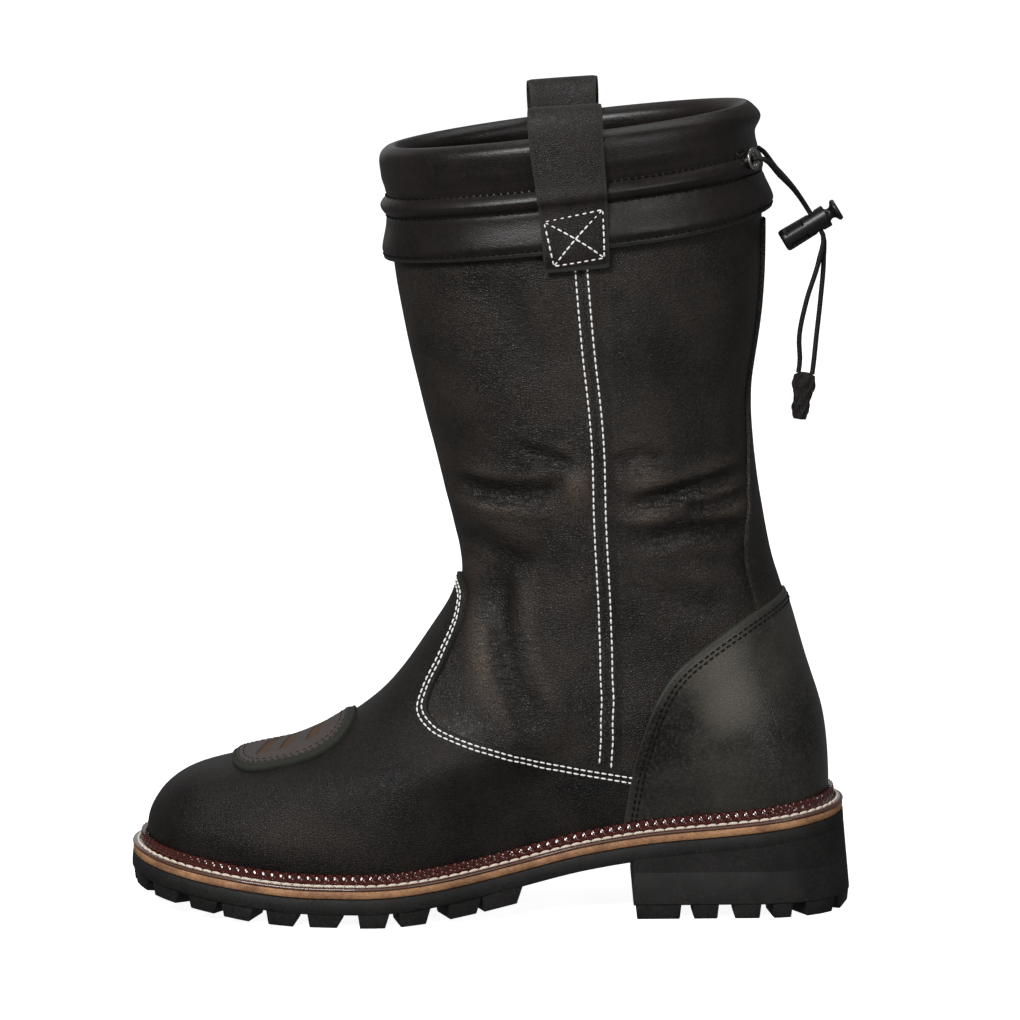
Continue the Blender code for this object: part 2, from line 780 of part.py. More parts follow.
def build_overlays(parts, cutters):
    levels = range(0, 14)
    vamp_cutter = prism("vamp_cutter", vamp_outline(), "y", -90.0, 90.0, cutters)
    vamp = overlay("vamp", levels, GAP, VAMP, vamp_cutter, parts)
    counter_cutter = prism("counter_cutter", counter_outline(0.0), "y", -90.0, 90.0, cutters)
    counter = overlay("counter", levels, GAP, COUNTER, counter_cutter, parts)

    strip = np.array(STAY_EDGE)
    z = np.linspace(strip[0, 0], strip[-1, 0], 14)
    half = through(strip[:, 0], strip[:, 1], z)
    band = list(zip(-half, z)) + list(zip(half, z))[::-1]
    stay_cutter = prism("stay_cutter", band, "x", 60.0, 165.0, cutters)
    edge_level = TOP + CUFF[0].height / LEVEL_HEIGHT - 0.012
    stay = overlay("back_stay", [*range(10, 17), edge_level], GAP, STAY, stay_cutter, parts)
    above = prism("stay_foot_cutter", counter_outline(0.35), "y", -90.0, 90.0, cutters)
    boolean(stay, above, "DIFFERENCE")

    turn = np.linspace(0.0, 2 * math.pi, 24, endpoint=False)
    reach = (np.abs(np.cos(turn)) ** PAD_POWER + np.abs(np.sin(turn)) ** PAD_POWER) ** (-1 / PAD_POWER)
    plan = [
        (PAD_CENTRE[0] + PAD_HALF[0] * r * math.cos(a), PAD_CENTRE[1] + PAD_HALF[1] * r * math.sin(a))
        for a, r in zip(turn, reach)
    ]
    pad_cutter = prism("pad_cutter", plan, "z", 40.0, 130.0, cutters)
    pad = overlay("shift_pad", range(2, 11), GAP + VAMP + GAP, PAD, pad_cutter, parts)
    return vamp, counter, stay, pad


def at_rim(u, height, offset):
    """A point by its height above the collar edge and its offset out of the wall."""
    u = np.asarray(u, float)
    if height <= 0.0:
        return skin(u, TOP + height / LEVEL_HEIGHT, offset)
    up = surface(u, TOP) - surface(u, TOP - 0.3)
    up = up / np.linalg.norm(up, axis=1, keepdims=True)
    return skin(u, TOP, offset) + height * up


def fold_ring(u, fold):
    """A fold of the cuff: its side and front place turning into its place at the back."""
    back = 1.0 - ease(BACK_NEAR, BACK_FAR, np.abs(np.asarray(u, float) - 0.5))[:, None]
    front = at_rim(u, fold.height, fold.offset)
    return front + back * (at_rim(u, fold.back_height, fold.back_offset) - front)


def build_cuff(parts):
    rings = [fold_ring(around(), fold) for fold in CUFF]
    return new_closed("collar_cuff", *loft(rings, closed=True), parts)


def build_strap(strap, parts):
    path = np.array([[bend.height, bend.offset] for bend in PULL_STRAP])
    ahead = np.gradient(path, axis=0)
    ahead = ahead / np.linalg.norm(ahead, axis=1, keepdims=True)
    across = np.linspace(-0.5, 0.5, 5)
    rings = []
    for bend, place, run in zip(PULL_STRAP, path, ahead):
        face = np.array([-run[1], run[0]]) * STRAP / 2
        level = min(TOP, TOP + bend.height / LEVEL_HEIGHT)
        nearby = surface([strap.at - 0.005, strap.at + 0.005], level)
        per_turn = np.linalg.norm(nearby[1] - nearby[0]) / 0.01
        u = strap.at + across * bend.width / per_turn
        free = np.clip(bend.height / PULL_STRAP[9].height, 0.0, 1.0)
        raised = np.zeros((len(across), 3))
        raised[:, 0] = free * STRAP_LEAN
        raised[:, 2] = free * (strap.rise + strap.level * across)
        outer = at_rim(u, *(place + face)) + raised
        inner = at_rim(u, *(place - face)) + raised
        rings.append(np.concatenate([outer, inner[::-1]]))
    return new_closed(strap.node, *slab(rings, [0, 1, 2, 3, 4], [9, 8, 7, 6, 5]), parts)


def eyelet_place(side):
    u = [0.5 + side * (0.5 - EYELET_AT)]
    normal = outward(u, TOP + EYELET.back_height / LEVEL_HEIGHT)[0]
    return fold_ring(u, EYELET)[0], normal


def build_eyelet(name, side, parts):
    place, normal = eyelet_place(side)
    bpy.ops.mesh.primitive_torus_add(
        major_radius=EYELET_RING * MM,
        minor_radius=EYELET_WIRE * MM,
        major_segments=12,
        minor_segments=5,
    )
    made = bpy.context.object
    made.name = name
    made.location = Vector(place + normal * (GAP + EYELET_WIRE + 0.1)) * MM
    made.rotation_euler = Vector(normal).to_track_quat("Z", "Y").to_euler()
    for old in list(made.users_collection):
        old.objects.unlink(made)
    parts.objects.link(made)
    return made


def lock_frame():
    """The cord lock's frame: its Z runs from the closed end to the plunger, its X with the cord."""
    turn = Matrix.Rotation(LOCK_TILT, 4, "Y")
    along = turn @ Vector((0.0, 0.0, LOCK_SPLIT))
    base = Vector((LOCK_AT[0], 0.0, LOCK_AT[1])) - along
    return Matrix.Translation(base * MM) @ turn


def turned(name, profile, parts):
    points = [(turn.radius * MM, 0.0, turn.along * MM) for turn in profile]
    mesh = bpy.data.meshes.new(name)
    mesh.from_pydata(points, [(k, k + 1) for k in range(len(points) - 1)], [])
    made = linked(name, mesh, parts)
    screw = made.modifiers.new("turn", "SCREW")
    screw.axis = "Z"
    screw.steps = 16
    screw.render_steps = 16
    screw.use_merge_vertices = True
    screw.merge_threshold = 0.00001
    screw.use_normal_calculate = True
    made.matrix_world = lock_frame()
    return made


def slot_cutter(name, along, width, reach, collection):
    corners = [(reach * i, width / 2 * j, z) for i in (-1, 1) for j in (-1, 1) for z in along]
    made = hull_blocks(name, [corners], collection)
    made.matrix_world = lock_frame()
    return made


def build_lock(parts, cutters):
    half = CORD / 2 + GAP
    wide = 2 * (STRAND_APART + half)
    hole = (LOCK_SPLIT - half, LOCK_SPLIT + half)
    barrel = turned("cord_lock_barrel", BARREL, parts)
    boolean(barrel, slot_cutter("barrel_slot", hole, wide, 9.0, cutters), "DIFFERENCE")
    plunger = turned("cord_lock_plunger", PLUNGER, parts)
    run = (hole[0], hole[1] + PRESS)
    boolean(plunger, slot_cutter("plunger_slot", run, wide, 9.0, cutters), "DIFFERENCE")
    return barrel, plunger


def tab_frame():
    turn = Matrix.Rotation(TAB_TILT, 4, "Y")
    return Matrix.Translation(Vector(TAB_TOP) * MM) @ turn


def build_tab(parts):
    side = smooth_line(TAB, 9)
    plan = [(half, along) for along, half in side] + [(-half, along) for along, half in side[::-1]]
    made = prism("cord_end_tab", plan, "y", -TAB_THICK / 2, TAB_THICK / 2, parts)
    made.matrix_world = tab_frame()
    return made


def strand_route(side, hanging):
    """A strand's points: out of its eyelet, through the lock and down to the tab."""
    place, normal = eyelet_place(side)
    lock = lock_frame()
    through_lock = [
        lock @ (Vector((reach, side * STRAND_APART, LOCK_SPLIT)) * MM) / MM
        for reach in (-6.0, 0.0, 6.0)
    ]
    tab = tab_frame() @ (Vector((side * TAB_CORDS, 0.0, GAP)) * MM) / MM
    above = tab_frame() @ (Vector((side * TAB_CORDS, 0.0, 5.0)) * MM) / MM
    start = [place + normal * 0.5, place + normal * 4.0]
    falling = [(point.x, side * point.y, point.z) for point in STRAND_TO_LOCK]
    return [*start, *falling, *through_lock, *hanging, above, tab]


def build_strand(name, side, hanging, parts):
    curve = bpy.data.curves.new(name, "CURVE")
    curve.dimensions = "3D"
    curve.bevel_depth = CORD / 2 * MM
    curve.bevel_resolution = 2
    curve.use_fill_caps = True
    points = smooth_line(strand_route(side, hanging), 19)
    spline = curve.splines.new("POLY")
    spline.points.add(len(points) - 1)
    for held, point in zip(spline.points, points):
        held.co = (*(point * MM), 1.0)
    return linked(name, curve, parts)


def main():
    for old in list(bpy.data.objects):
        bpy.data.objects.remove(old)
    parts = new_collection("boot_parts")
    cutters = new_collection("boot_cutters", hidden=True)
    finishes = {name: new_material(name) for name in FINISHES}

    block, lift = build_heel(parts, cutters)
    vamp, counter, stay, pad = build_overlays(parts, cutters)
    barrel, plunger = build_lock(parts, cutters)
    made = {
        build_outsole(parts, cutters): "Rubber",
        block: "Rubber",
        lift: "Rubber",
        build_midsole(parts): "Tan leather",
        build_welt(parts): "Storm welt",
        build_insole(parts): "Lining",
        build_upper(parts): "Black leather",
        vamp: "Black leather",
        counter: "Counter leather",
        stay: "Black leather",
        pad: "Pad leather",
        build_cuff(parts): "Cuff leather",
        **{build_strap(strap, parts): "Strap leather" for strap in STRAPS},
        build_eyelet("eyelet_lateral", -1, parts): "Eyelet metal",
        build_eyelet("eyelet_medial", 1, parts): "Eyelet metal",
        barrel: "Lock plastic",
        plunger: "Lock plastic",
        build_strand("drawcord_lateral", -1, OUTER_STRAND, parts): "Cord",
        build_strand("drawcord_medial", 1, INNER_STRAND, parts): "Cord",
        build_tab(parts): "Cuff leather",
    }
    boot = linked("boot", None, parts)
    for piece, finish in made.items():
        piece.data.materials.append(finishes[finish])
        piece.parent = boot


main()
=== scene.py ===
"""Dresses a left motorcycle boot: waxed leather, stitching, a welted rubber sole and a drawcord.

The toe points to -X, the heel to +X, the outer side to -Y and up is +Z. Sizes and tables are in
millimetres, and each mesh is turned into metres when it is made.
"""

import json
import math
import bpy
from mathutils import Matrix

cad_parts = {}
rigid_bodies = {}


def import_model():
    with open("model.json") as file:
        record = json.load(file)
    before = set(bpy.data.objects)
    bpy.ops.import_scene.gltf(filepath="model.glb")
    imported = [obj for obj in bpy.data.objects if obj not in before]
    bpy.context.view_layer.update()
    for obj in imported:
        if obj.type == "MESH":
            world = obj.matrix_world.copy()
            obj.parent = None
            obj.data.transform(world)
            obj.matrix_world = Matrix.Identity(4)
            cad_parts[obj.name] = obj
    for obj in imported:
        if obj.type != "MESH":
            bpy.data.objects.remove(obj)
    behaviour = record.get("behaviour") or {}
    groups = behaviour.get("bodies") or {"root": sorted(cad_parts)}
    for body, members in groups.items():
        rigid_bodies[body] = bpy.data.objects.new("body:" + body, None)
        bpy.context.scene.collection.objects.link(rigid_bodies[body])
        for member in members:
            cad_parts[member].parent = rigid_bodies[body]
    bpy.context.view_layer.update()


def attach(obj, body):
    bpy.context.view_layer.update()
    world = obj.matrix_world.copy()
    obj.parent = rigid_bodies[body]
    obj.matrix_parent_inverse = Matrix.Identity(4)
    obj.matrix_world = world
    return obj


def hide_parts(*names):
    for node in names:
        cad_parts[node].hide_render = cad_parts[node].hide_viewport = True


bl_info = {
    "name": "Motorcycle boot",
    "version": (1, 0, 0),
    "blender": (4, 5, 0),
    "location": "3D View > Sidebar > Boot",
    "description": "Builds the leather, stitching, sole and drawcord of a left motorcycle boot",
    "category": "Object",
}

from collections import namedtuple
from functools import lru_cache

import bmesh
import bpy
import numpy as np
from bpy.props import FloatProperty, FloatVectorProperty, PointerProperty
from mathutils import Matrix, Vector
from mathutils.bvhtree import BVHTree

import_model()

MM = 0.001
GAP = 0.3
SIDES = ((-1, "lateral"), (1, "medial"))

# Upper
END_CLUSTER = 0.45
WALL = 1.8
VAMP = 2.0
COUNTER = 2.0
COUNTER_LIFT = 0.8
STAY = 1.4
PAD = 2.2
FORE_AT, WAIST_AT, HEEL_AT = 0.30, 0.58, 0.84

# Sole
SOLE_MARGIN = 10.0
SHEET = 6.9
MIDSOLE = 3.2
WELT = 2.6
LIP_HEIGHT = 4.6
LIP = 2.2
INSOLE_RISE = 2.0
BREAST_X = 62.0
LIFT_TOP = 21.0
LIFT_SOLID = 6.4
HEEL_LEAN = 3.5
HEEL_TALL = 38.0
HEEL_LONG = 93.0
LUG_REACH = 22.0
LUG_DRAFT = 0.9
LUG_ROOT = 2.0
LUG_BACK = 0.4
LUG_BEVEL = 0.7
TOE_LUGS = 3
TOE_LUG_FILL = 0.68

# Sections of the upper from the feather line up to the collar. The ends stand a rise above the
# ends of the feather line, and the widths are across the ball, the waist and the heel. Nose and
# tail are the lengths of the rounded ends, and follow is how far a section keeps the sole's curve.
Section = namedtuple(
    "Section",
    "name front_x front_rise back_x back_rise fore waist heel nose tail power follow",
)
SECTIONS = (
    Section("feather", -148.5, 0.0, 145.0, 0.0, 92.0, 54.0, 57.0, 64.0, 31.0, 2.20, 1.00),
    Section("lip", -149.2, 6.5, 145.2, 6.5, 95.0, 57.0, 60.0, 66.0, 32.0, 2.20, 1.00),
    Section("toe wall", -147.3, 14.0, 145.0, 13.5, 97.0, 60.0, 62.5, 68.0, 33.0, 2.20, 0.95),
    Section("toe shoulder", -141.0, 23.0, 144.6, 20.5, 96.5, 63.0, 64.5, 73.0, 34.0, 2.10, 0.82),
    Section("toe top", -130.5, 30.0, 144.0, 27.0, 95.0, 66.0, 65.5, 79.0, 35.0, 2.05, 0.65),
    Section("pad front", -112.5, 35.0, 143.2, 33.0, 93.0, 69.0, 66.5, 82.0, 36.0, 2.00, 0.45),
    Section("pad middle", -91.5, 39.5, 142.0, 39.0, 90.0, 71.0, 67.0, 78.0, 37.0, 2.00, 0.28),
    Section("pad back", -71.5, 48.0, 140.0, 46.0, 86.0, 72.5, 67.5, 72.0, 38.0, 2.00, 0.15),
    Section("instep", -51.2, 61.5, 136.8, 55.5, 81.0, 73.5, 68.5, 64.0, 40.0, 2.00, 0.07),
    Section("instep top", -37.8, 75.0, 133.2, 67.0, 78.0, 74.5, 70.0, 58.0, 43.0, 2.00, 0.03),
    Section("throat", -24.5, 94.0, 129.2, 81.0, 77.0, 77.0, 73.0, 55.0, 47.0, 2.00, 0.0),
    Section("ankle front", -15.0, 110.0, 125.0, 94.5, 79.0, 80.0, 77.0, 58.0, 53.0, 2.00, 0.0),
    Section("ankle", -12.6, 124.0, 121.0, 107.0, 83.0, 83.0, 82.0, 64.0, 60.0, 2.00, 0.0),
    Section("ankle top", -16.0, 141.5, 117.8, 122.0, 87.0, 87.0, 87.0, 66.0, 66.0, 2.05, 0.0),
    Section("calf low", -23.0, 169.5, 113.6, 147.5, 92.0, 92.0, 92.0, 68.0, 68.0, 2.10, 0.0),
    Section("calf", -31.3, 202.5, 111.6, 180.5, 98.0, 98.0, 98.0, 71.0, 71.0, 2.10, 0.0),
    Section("calf high", -38.6, 235.5, 116.4, 219.0, 105.0, 105.0, 105.0, 77.0, 77.0, 2.10, 0.0),
    Section("cuff edge", -42.3, 259.0, 117.3, 256.0, 110.0, 110.0, 110.0, 79.5, 79.5, 2.10, 0.0),
    Section("cuff", -43.5, 280.9, 115.0, 279.0, 111.5, 111.5, 111.5, 79.5, 79.5, 2.10, 0.0),
    Section("collar", -44.0, 302.8, 110.6, 301.2, 111.5, 111.5, 111.5, 78.0, 78.0, 2.10, 0.0),
)
TOP = len(SECTIONS) - 1

# The sole along its length: top of the rubber, underside of the lugs, and how far the foot's
# middle line swings from straight.
Station = namedtuple("Station", "x top ground swing")
STATIONS = (
    Station(-158.0, 22.0, 9.5, 7.5),
    Station(-140.0, 19.0, 6.6, 6.0),
    Station(-120.0, 16.4, 3.8, 4.5),
    Station(-100.0, 14.2, 1.2, 2.5),
    Station(-84.0, 12.9, 0.0, 0.8),
    Station(-64.0, 12.7, 0.0, -1.5),
    Station(-42.0, 13.3, 0.0, -3.5),
    Station(-20.0, 15.6, 2.0, -4.5),
    Station(10.0, 21.2, 7.4, -5.0),
    Station(40.0, 28.6, 15.0, -4.0),
    Station(62.0, 32.4, 0.0, -2.5),
    Station(110.0, 37.0, 0.0, 0.0),
    Station(160.0, 43.0, 0.0, 0.0),
)

# Lugs on one side, as runs along the length, and the rows of lugs down the middle.
Run = namedtuple("Run", "start end")
FORE_LUGS = (
    Run(-147.5, -138.0), Run(-131.0, -120.5), Run(-116.0, -105.0),
    Run(-96.5, -85.5), Run(-78.5, -66.5), Run(-56.5, -45.5),
    Run(-38.7, -27.6), Run(-17.3, -5.8), Run(-2.5, 11.5),
)
HEEL_LUGS = (Run(87.4, 97.3), Run(104.6, 115.0), Run(121.0, 128.7), Run(135.6, 146.8))
BREAST_BAR = Run(62.6, 82.3)
BACK_LUG_FROM = 150.5
HEEL_MIDDLE_LUG = Run(96.0, 122.0)
HEEL_MIDDLE_HALF = 11.0
MIDDLE_LUGS = Run(-112.0, -5.0)
MIDDLE_LUG_PITCH = 19.0
MIDDLE_LUG_LENGTH = 10.0
MIDDLE_LUG_HALF = 19.0
TOE_MIDDLE_HALF = 14.0
TOE_MIDDLE_TO = -100.0

# Edges of the sole's layers from below: how far each ring stands back from the margin, and its
# rise above the layer's underside.
OUTSOLE_EDGE = ((1.4, 0.0), (0.4, 0.25), (0.0, 1.1), (0.05, 3.4), (0.3, 6.6), (0.6, SHEET))
MIDSOLE_EDGE = ((0.9, 0.0), (0.6, 0.35), (0.5, 1.6), (0.6, MIDSOLE - 0.35), (0.9, MIDSOLE))
LIFT_EDGE = (
    (0.6, LIFT_SOLID),
    (0.0, LIFT_SOLID + 0.6),
    (0.0, LIFT_TOP - 0.1),
    (0.2, LIFT_TOP + 0.15),
)

# Free edges of the overlays in side view, as x and z. The vamp's runs from the front of the ankle
# down and back, and the counter's from the welt up to the back.
VAMP_EDGE = (
    (-24.0, 149.6), (-14.0, 147.6), (-10.4, 141.0), (-10.8, 134.5), (-18.7, 112.3), (-25.5, 98.0),
    (-27.2, 91.5), (-23.5, 86.6), (-14.5, 82.2), (2.0, 77.8), (29.5, 70.5), (72.0, 62.4),
)
COUNTER_EDGE = (
    (54.6, 26.0), (57.4, 42.3), (61.3, 63.9), (66.1, 81.0), (72.0, 96.7),
    (79.8, 108.8), (90.3, 118.2), (118.7, 136.0), (128.4, 140.2), (146.0, 146.0),
)

# The turn that keeps edges clear of the middle lines, and that the vamp runs under the counter.
CLEAR_TURN = 0.006

# The back stay's height and half width up the shaft, and the level that it starts from.
STAY_EDGE = (
    (118.0, 24.0), (136.0, 23.2), (161.0, 20.8), (190.0, 14.4), (215.0, 9.0), (260.0, 7.5), (320.0, 7.5),
)
STAY_FROM = 9.5
STAY_ROUNDING = 0.35

# The shift pad in plan, and its three slots, by their middle at the centre line.
PAD_CENTRE = (-86.3, 1.0)
PAD_HALF = (27.3, 28.5)
PAD_POWER = 3.0
PAD_BORDER_AT = 0.9
SLOTS = (-97.2, -86.9, -75.1)
SLOT_HALF = (2.7, 12.5)
SLOT_EASE = (0.4, 0.5)
SLOT_SLANT = 0.2
SLOT_DEPTH = 0.6

# The cuff's cross-section, as heights above the collar and offsets out of the wall: along the
# sides and front, and at the back, where the cord draws it in.
LEVEL_HEIGHT = 22.0
BACK_NEAR, BACK_FAR = 0.04, 0.2
Fold = namedtuple("Fold", "name height offset back_height back_offset")
CUFF = (
    Fold("edge inside", -45.0, 0.35, -41.5, 0.35),
    Fold("edge", -45.0, 2.6, -41.5, 2.9),
    Fold("lower seam", -26.4, 2.4, -25.4, 2.1),
    Fold("cord channel", -22.0, 4.6, -21.0, 2.8),
    Fold("upper seam", -17.6, 2.4, -16.6, 2.0),
    Fold("roll", -8.5, 3.9, -9.0, 1.8),
    Fold("shoulder", 1.5, 3.2, -1.0, 5.0),
    Fold("crest", 4.0, -0.9, 4.2, 0.6),
    Fold("inner shoulder", 1.5, -5.0, 1.5, -4.0),
    Fold("inner roll", -9.0, -5.2, -9.0, -4.6),
    Fold("facing edge", -20.0, -3.6, -20.0, -3.6),
    Fold("facing inside", -20.0, -2.2, -20.0, -2.2),
)
EYELET = Fold("eyelet", -19.5, 4.4, -18.5, 2.8)
CUFF_RAW_UNDER = -44.2
CUFF_INSIDE = 0.4

# The padding's slow swells, how far a seam pulls it in, and the puckers that the seam makes.
CUFF_SWELL = 0.35
CUFF_SEAM_SINK = 0.75
CUFF_SEAM_HALF = 1.2
CUFF_PUCKER = 0.08
CUFF_PUCKER_HALF = 3.2
CUFF_PUCKERS = 74

# The pull straps: the middle line from the sewn foot over the top and down inside with the
# width, then where each strap is and how its top is raised and levelled.
STRAP = 2.2
STRAP_LEAN = 1.2
STRAP_EDGE = 0.7
Bend = namedtuple("Bend", "name height offset width")
PULL_STRAP = (
    Bend("foot", -50.5, 2.6, 27.0),
    Bend("cuff edge", -44.0, 4.4, 27.4),
    Bend("lower seam", -27.0, 4.6, 28.2),
    Bend("cord channel", -22.0, 6.4, 28.5),
    Bend("upper seam", -16.5, 5.9, 28.8),
    Bend("roll", -8.0, 5.8, 29.4),
    Bend("shoulder", 1.5, 5.6, 30.2),
    Bend("standing", 9.5, 5.0, 31.0),
    Bend("bend", 15.4, 3.0, 31.6),
    Bend("top", 17.6, -0.9, 32.0),
    Bend("inner bend", 15.4, -4.8, 31.6),
    Bend("inner standing", 9.0, -6.8, 31.0),
    Bend("inner shoulder", 0.0, -7.4, 30.2),
    Bend("inner roll", -10.0, -7.2, 29.4),
    Bend("inner foot", -24.0, -6.4, 28.4),
)
OUTER_BENDS = 8
Strap = namedtuple("Strap", "node at rise level")
STRAPS = (
    Strap("pull_loop_lateral", 0.248, -2.2, -1.7),
    Strap("pull_loop_medial", 0.752, 0.9, 1.7),
)

# Drawcord: two strands from the eyelets through the cord lock to the tab.
CORD = 2.2
STRAND_APART = 1.35
STRAND_POINTS = 38
EYELET_AT = 0.415
EYELET_RING = 4.0
EYELET_WIRE = 1.0
EYELET_ROLL = (0.98, 0.7)
EYELET_SHANK = ((-1.4, 2.9), (-2.2, 2.8))
LOCK_AT = (140.7, 300.4)
LOCK_TILT = math.radians(58.6)
LOCK_SPLIT = 16.5
Point = namedtuple("Point", "x y z")
STRAND_TO_LOCK = (Point(124.5, 16.0, 322.0), Point(132.0, 6.5, 313.8))
OUTER_STRAND = (Point(142.2, -1.6, 284.0), Point(136.8, -1.5, 265.7), Point(133.9, -1.0, 249.5))
INNER_STRAND = (Point(144.4, 1.6, 284.0), Point(143.3, 1.5, 268.0), Point(141.4, 1.0, 249.5))
TAB_TOP = Point(136.7, 0.0, 234.0)
TAB_TILT = math.radians(7.0)
TAB_THICK = 4.4
TAB_CORDS = 3.0
TAB_DOME = 0.7
TAB_FOLDS = ((0.28, 5, 0.5), (0.2, 9, -0.8))
TAB = ((0.0, 4.4), (-3.4, 5.2), (-9.0, 4.6), (-17.5, 3.5), (-19.8, 2.6))

# The cord lock's turned forms, as distances from its closed end and radii, the four windows in
# its barrel, and the two mouths that the cord passes through.
BARREL_LENGTH = 22.0
BARREL_FORM = ((0.0, 4.1), (0.5, 4.75), (1.4, 5.0), (15.0, 4.75), (18.5, 4.95), (BARREL_LENGTH, 5.0))
BARREL_FOOT = ((0.0, 0.05), (0.0, 3.6))
BARREL_BORE = ((22.3, 4.4), (22.25, 3.7), (21.6, 3.5), (4.2, 3.5), (4.2, 0.05))
PLUNGER_FORM = (
    (8.0, 0.05), (8.0, 3.1), (8.3, 3.3), (22.3, 3.3), (22.9, 2.7), (23.6, 2.45), (24.4, 2.55),
    (25.2, 3.2), (25.8, 4.4), (26.2, 4.8), (26.8, 4.92), (27.5, 4.75), (27.95, 4.3), (27.9, 3.6),
    (27.3, 2.4), (27.0, 1.2), (26.95, 0.05),
)
WINDOW_DEPTH = 1.1
WINDOW_HALF = (0.26, 0.38)
WINDOW_FROM = (2.6, 3.6)
WINDOW_TO = (10.6, 11.6)
MOUTH_DEPTH = 1.15
MOUTH_HALF = (1.8, 3.1)
MOUTH_EDGE = (0.85, 1.05)
MOUTH_RADIUS = 4.8

# Soft troughs in side view through three places, with the half width, the depth, and the share
# of the depth that rises again on either side. Side -1 is the outer side and 1 the inner.
Crease = namedtuple("Crease", "side start middle end width depth ridge")
CREASES = (
    Crease(-1, (-21.0, 192.5), (8.0, 187.6), (33.0, 191.0), 3.4, 2.5, 0.9),
    Crease(-1, (-10.0, 186.0), (10.0, 183.8), (34.0, 182.0), 2.2, 1.0, 0.8),
    Crease(-1, (-18.0, 170.0), (3.0, 161.0), (22.0, 154.5), 5.5, 1.7, 0.5),
    Crease(-1, (10.0, 166.0), (5.5, 122.0), (27.0, 76.0), 5.4, 2.6, 0.7),
    Crease(-1, (56.0, 182.5), (85.0, 189.2), (113.0, 195.0), 3.0, 2.2, 0.9),
    Crease(-1, (81.0, 181.5), (97.0, 182.4), (113.0, 187.0), 2.5, 1.4, 0.7),
    Crease(-1, (58.0, 166.0), (90.7, 171.0), (113.0, 167.5), 3.6, 1.8, 0.7),
    Crease(-1, (8.0, 208.0), (24.0, 204.6), (38.0, 199.5), 2.2, 1.1, 0.7),
    Crease(-1, (51.0, 200.0), (63.0, 204.5), (76.0, 202.0), 2.4, 1.1, 0.7),
    Crease(-1, (-12.0, 284.0), (11.0, 264.0), (31.0, 231.0), 9.0, 0.9, 0.3),
    Crease(-1, (70.0, 150.0), (88.0, 139.0), (104.0, 142.0), 6.0, 1.2, 0.4),
    Crease(-1, (60.0, 262.0), (80.0, 240.0), (92.0, 214.0), 9.0, 0.8, 0.3),
    Crease(1, (-20.0, 187.0), (12.0, 181.5), (40.0, 186.0), 3.4, 2.2, 0.8),
    Crease(1, (-16.0, 166.0), (8.0, 158.0), (28.0, 150.0), 5.2, 1.6, 0.5),
    Crease(1, (10.0, 148.0), (6.0, 120.0), (16.0, 94.0), 5.0, 2.2, 0.6),
    Crease(1, (58.0, 188.0), (86.0, 183.0), (112.0, 188.0), 3.4, 2.0, 0.8),
    Crease(1, (62.0, 170.0), (88.0, 165.5), (112.0, 171.0), 4.2, 1.6, 0.6),
    Crease(1, (0.0, 276.0), (22.0, 262.0), (44.0, 236.0), 9.0, 0.8, 0.3),
)
FURROWED_WIDTH = 3.2

# Soft swellings in side view between the creases, and the leather's own slow swells and dimples.
Bulge = namedtuple("Bulge", "side x z wide high rise")
BULGES = (
    Bulge(-1, 37.5, 191.0, 5.5, 8.5, 2.3),
    Bulge(-1, -4.0, 116.0, 7.0, 20.0, 1.4),
    Bulge(-1, 65.0, 194.5, 10.0, 5.0, 1.3),
    Bulge(-1, 66.0, 177.0, 12.0, 4.5, 1.3),
    Bulge(-1, 6.0, 176.0, 16.0, 6.0, 0.7),
    Bulge(-1, 88.0, 152.0, 16.0, 9.0, 0.8),
    Bulge(1, 30.0, 172.0, 16.0, 7.0, 0.9),
    Bulge(1, 86.0, 176.0, 14.0, 5.0, 0.8),
)
SWELL = 0.32
DIMPLE = 0.22

# The side seam's middle line in side view from the vamp up to the strap's foot, and its lap.
SIDE_SEAM = (
    (50.1, 63.0), (50.3, 78.0), (50.2, 98.0), (49.6, 122.0), (48.3, 148.0), (46.9, 176.0),
    (46.0, 207.0), (44.4, 227.0), (42.0, 247.0), (40.0, 268.0), (38.2, 290.0), (36.6, 312.0),
)
SEAM_ROWS = 2.55
SEAM_LAP = 7.0
SEAM_LIFT = 1.0
SEAM_REACHES = (0.0, 0.35, 1.0, 2.0, 3.0, 4.2, 5.5, SEAM_LAP)

# Distances of the stitch rows inside the panels' edges, and how high a stitch's middle lies.
SEWN_LIFT = 0.15
VAMP_ROWS = (2.0, 4.2)
COUNTER_ROWS = (3.2, 5.2)
PAD_ROWS = (3.2, 5.4)
CUFF_ROWS = (-17.6, -26.4, -42.6)
STRAP_BOX = ((-0.35, -48.6), (0.42, -47.4), (0.43, -28.6), (-0.44, -31.0))

# The welt: how far its stitched flat lies under its solid's top, how far the stitches lie from the
# lip and their thickness, the columns to one bead, and the heights of the lip's rings.
WELT_LOW = 1.1
WELT_ROW = 1.75
WELT_THREAD = 1.25
BEAD_COLUMNS = 8
LIP_RISES = (0.1, 0.25, 0.4, 0.52, 0.62, 0.72, 0.82, 0.92, 1.0)
LIP_CHAMFER = 0.8
LIP_GROOVE = 0.8

# How finely the last is charted, and the meshes' counts of columns and rows.
TURNS = 720
RISES = 380
UPPER_COLUMNS = 360
UPPER_ROWS = 176
LINING_ROWS = 48
CUFF_COLUMNS = 320
PAD_COLUMNS = 260
SOLE_COLUMNS = 300
INSOLE_COLUMNS = 240
HEEL_POINTS = 161

# The camera, from the photograph's angle.
CAMERA_TARGET = (8.297, 0.0, 174.1)
CAMERA_DISTANCE = 2500.0
CAMERA_RISE = math.radians(9.0)
CAMERA_ANGLE = 2 * math.atan(510.0 / 5725.0)

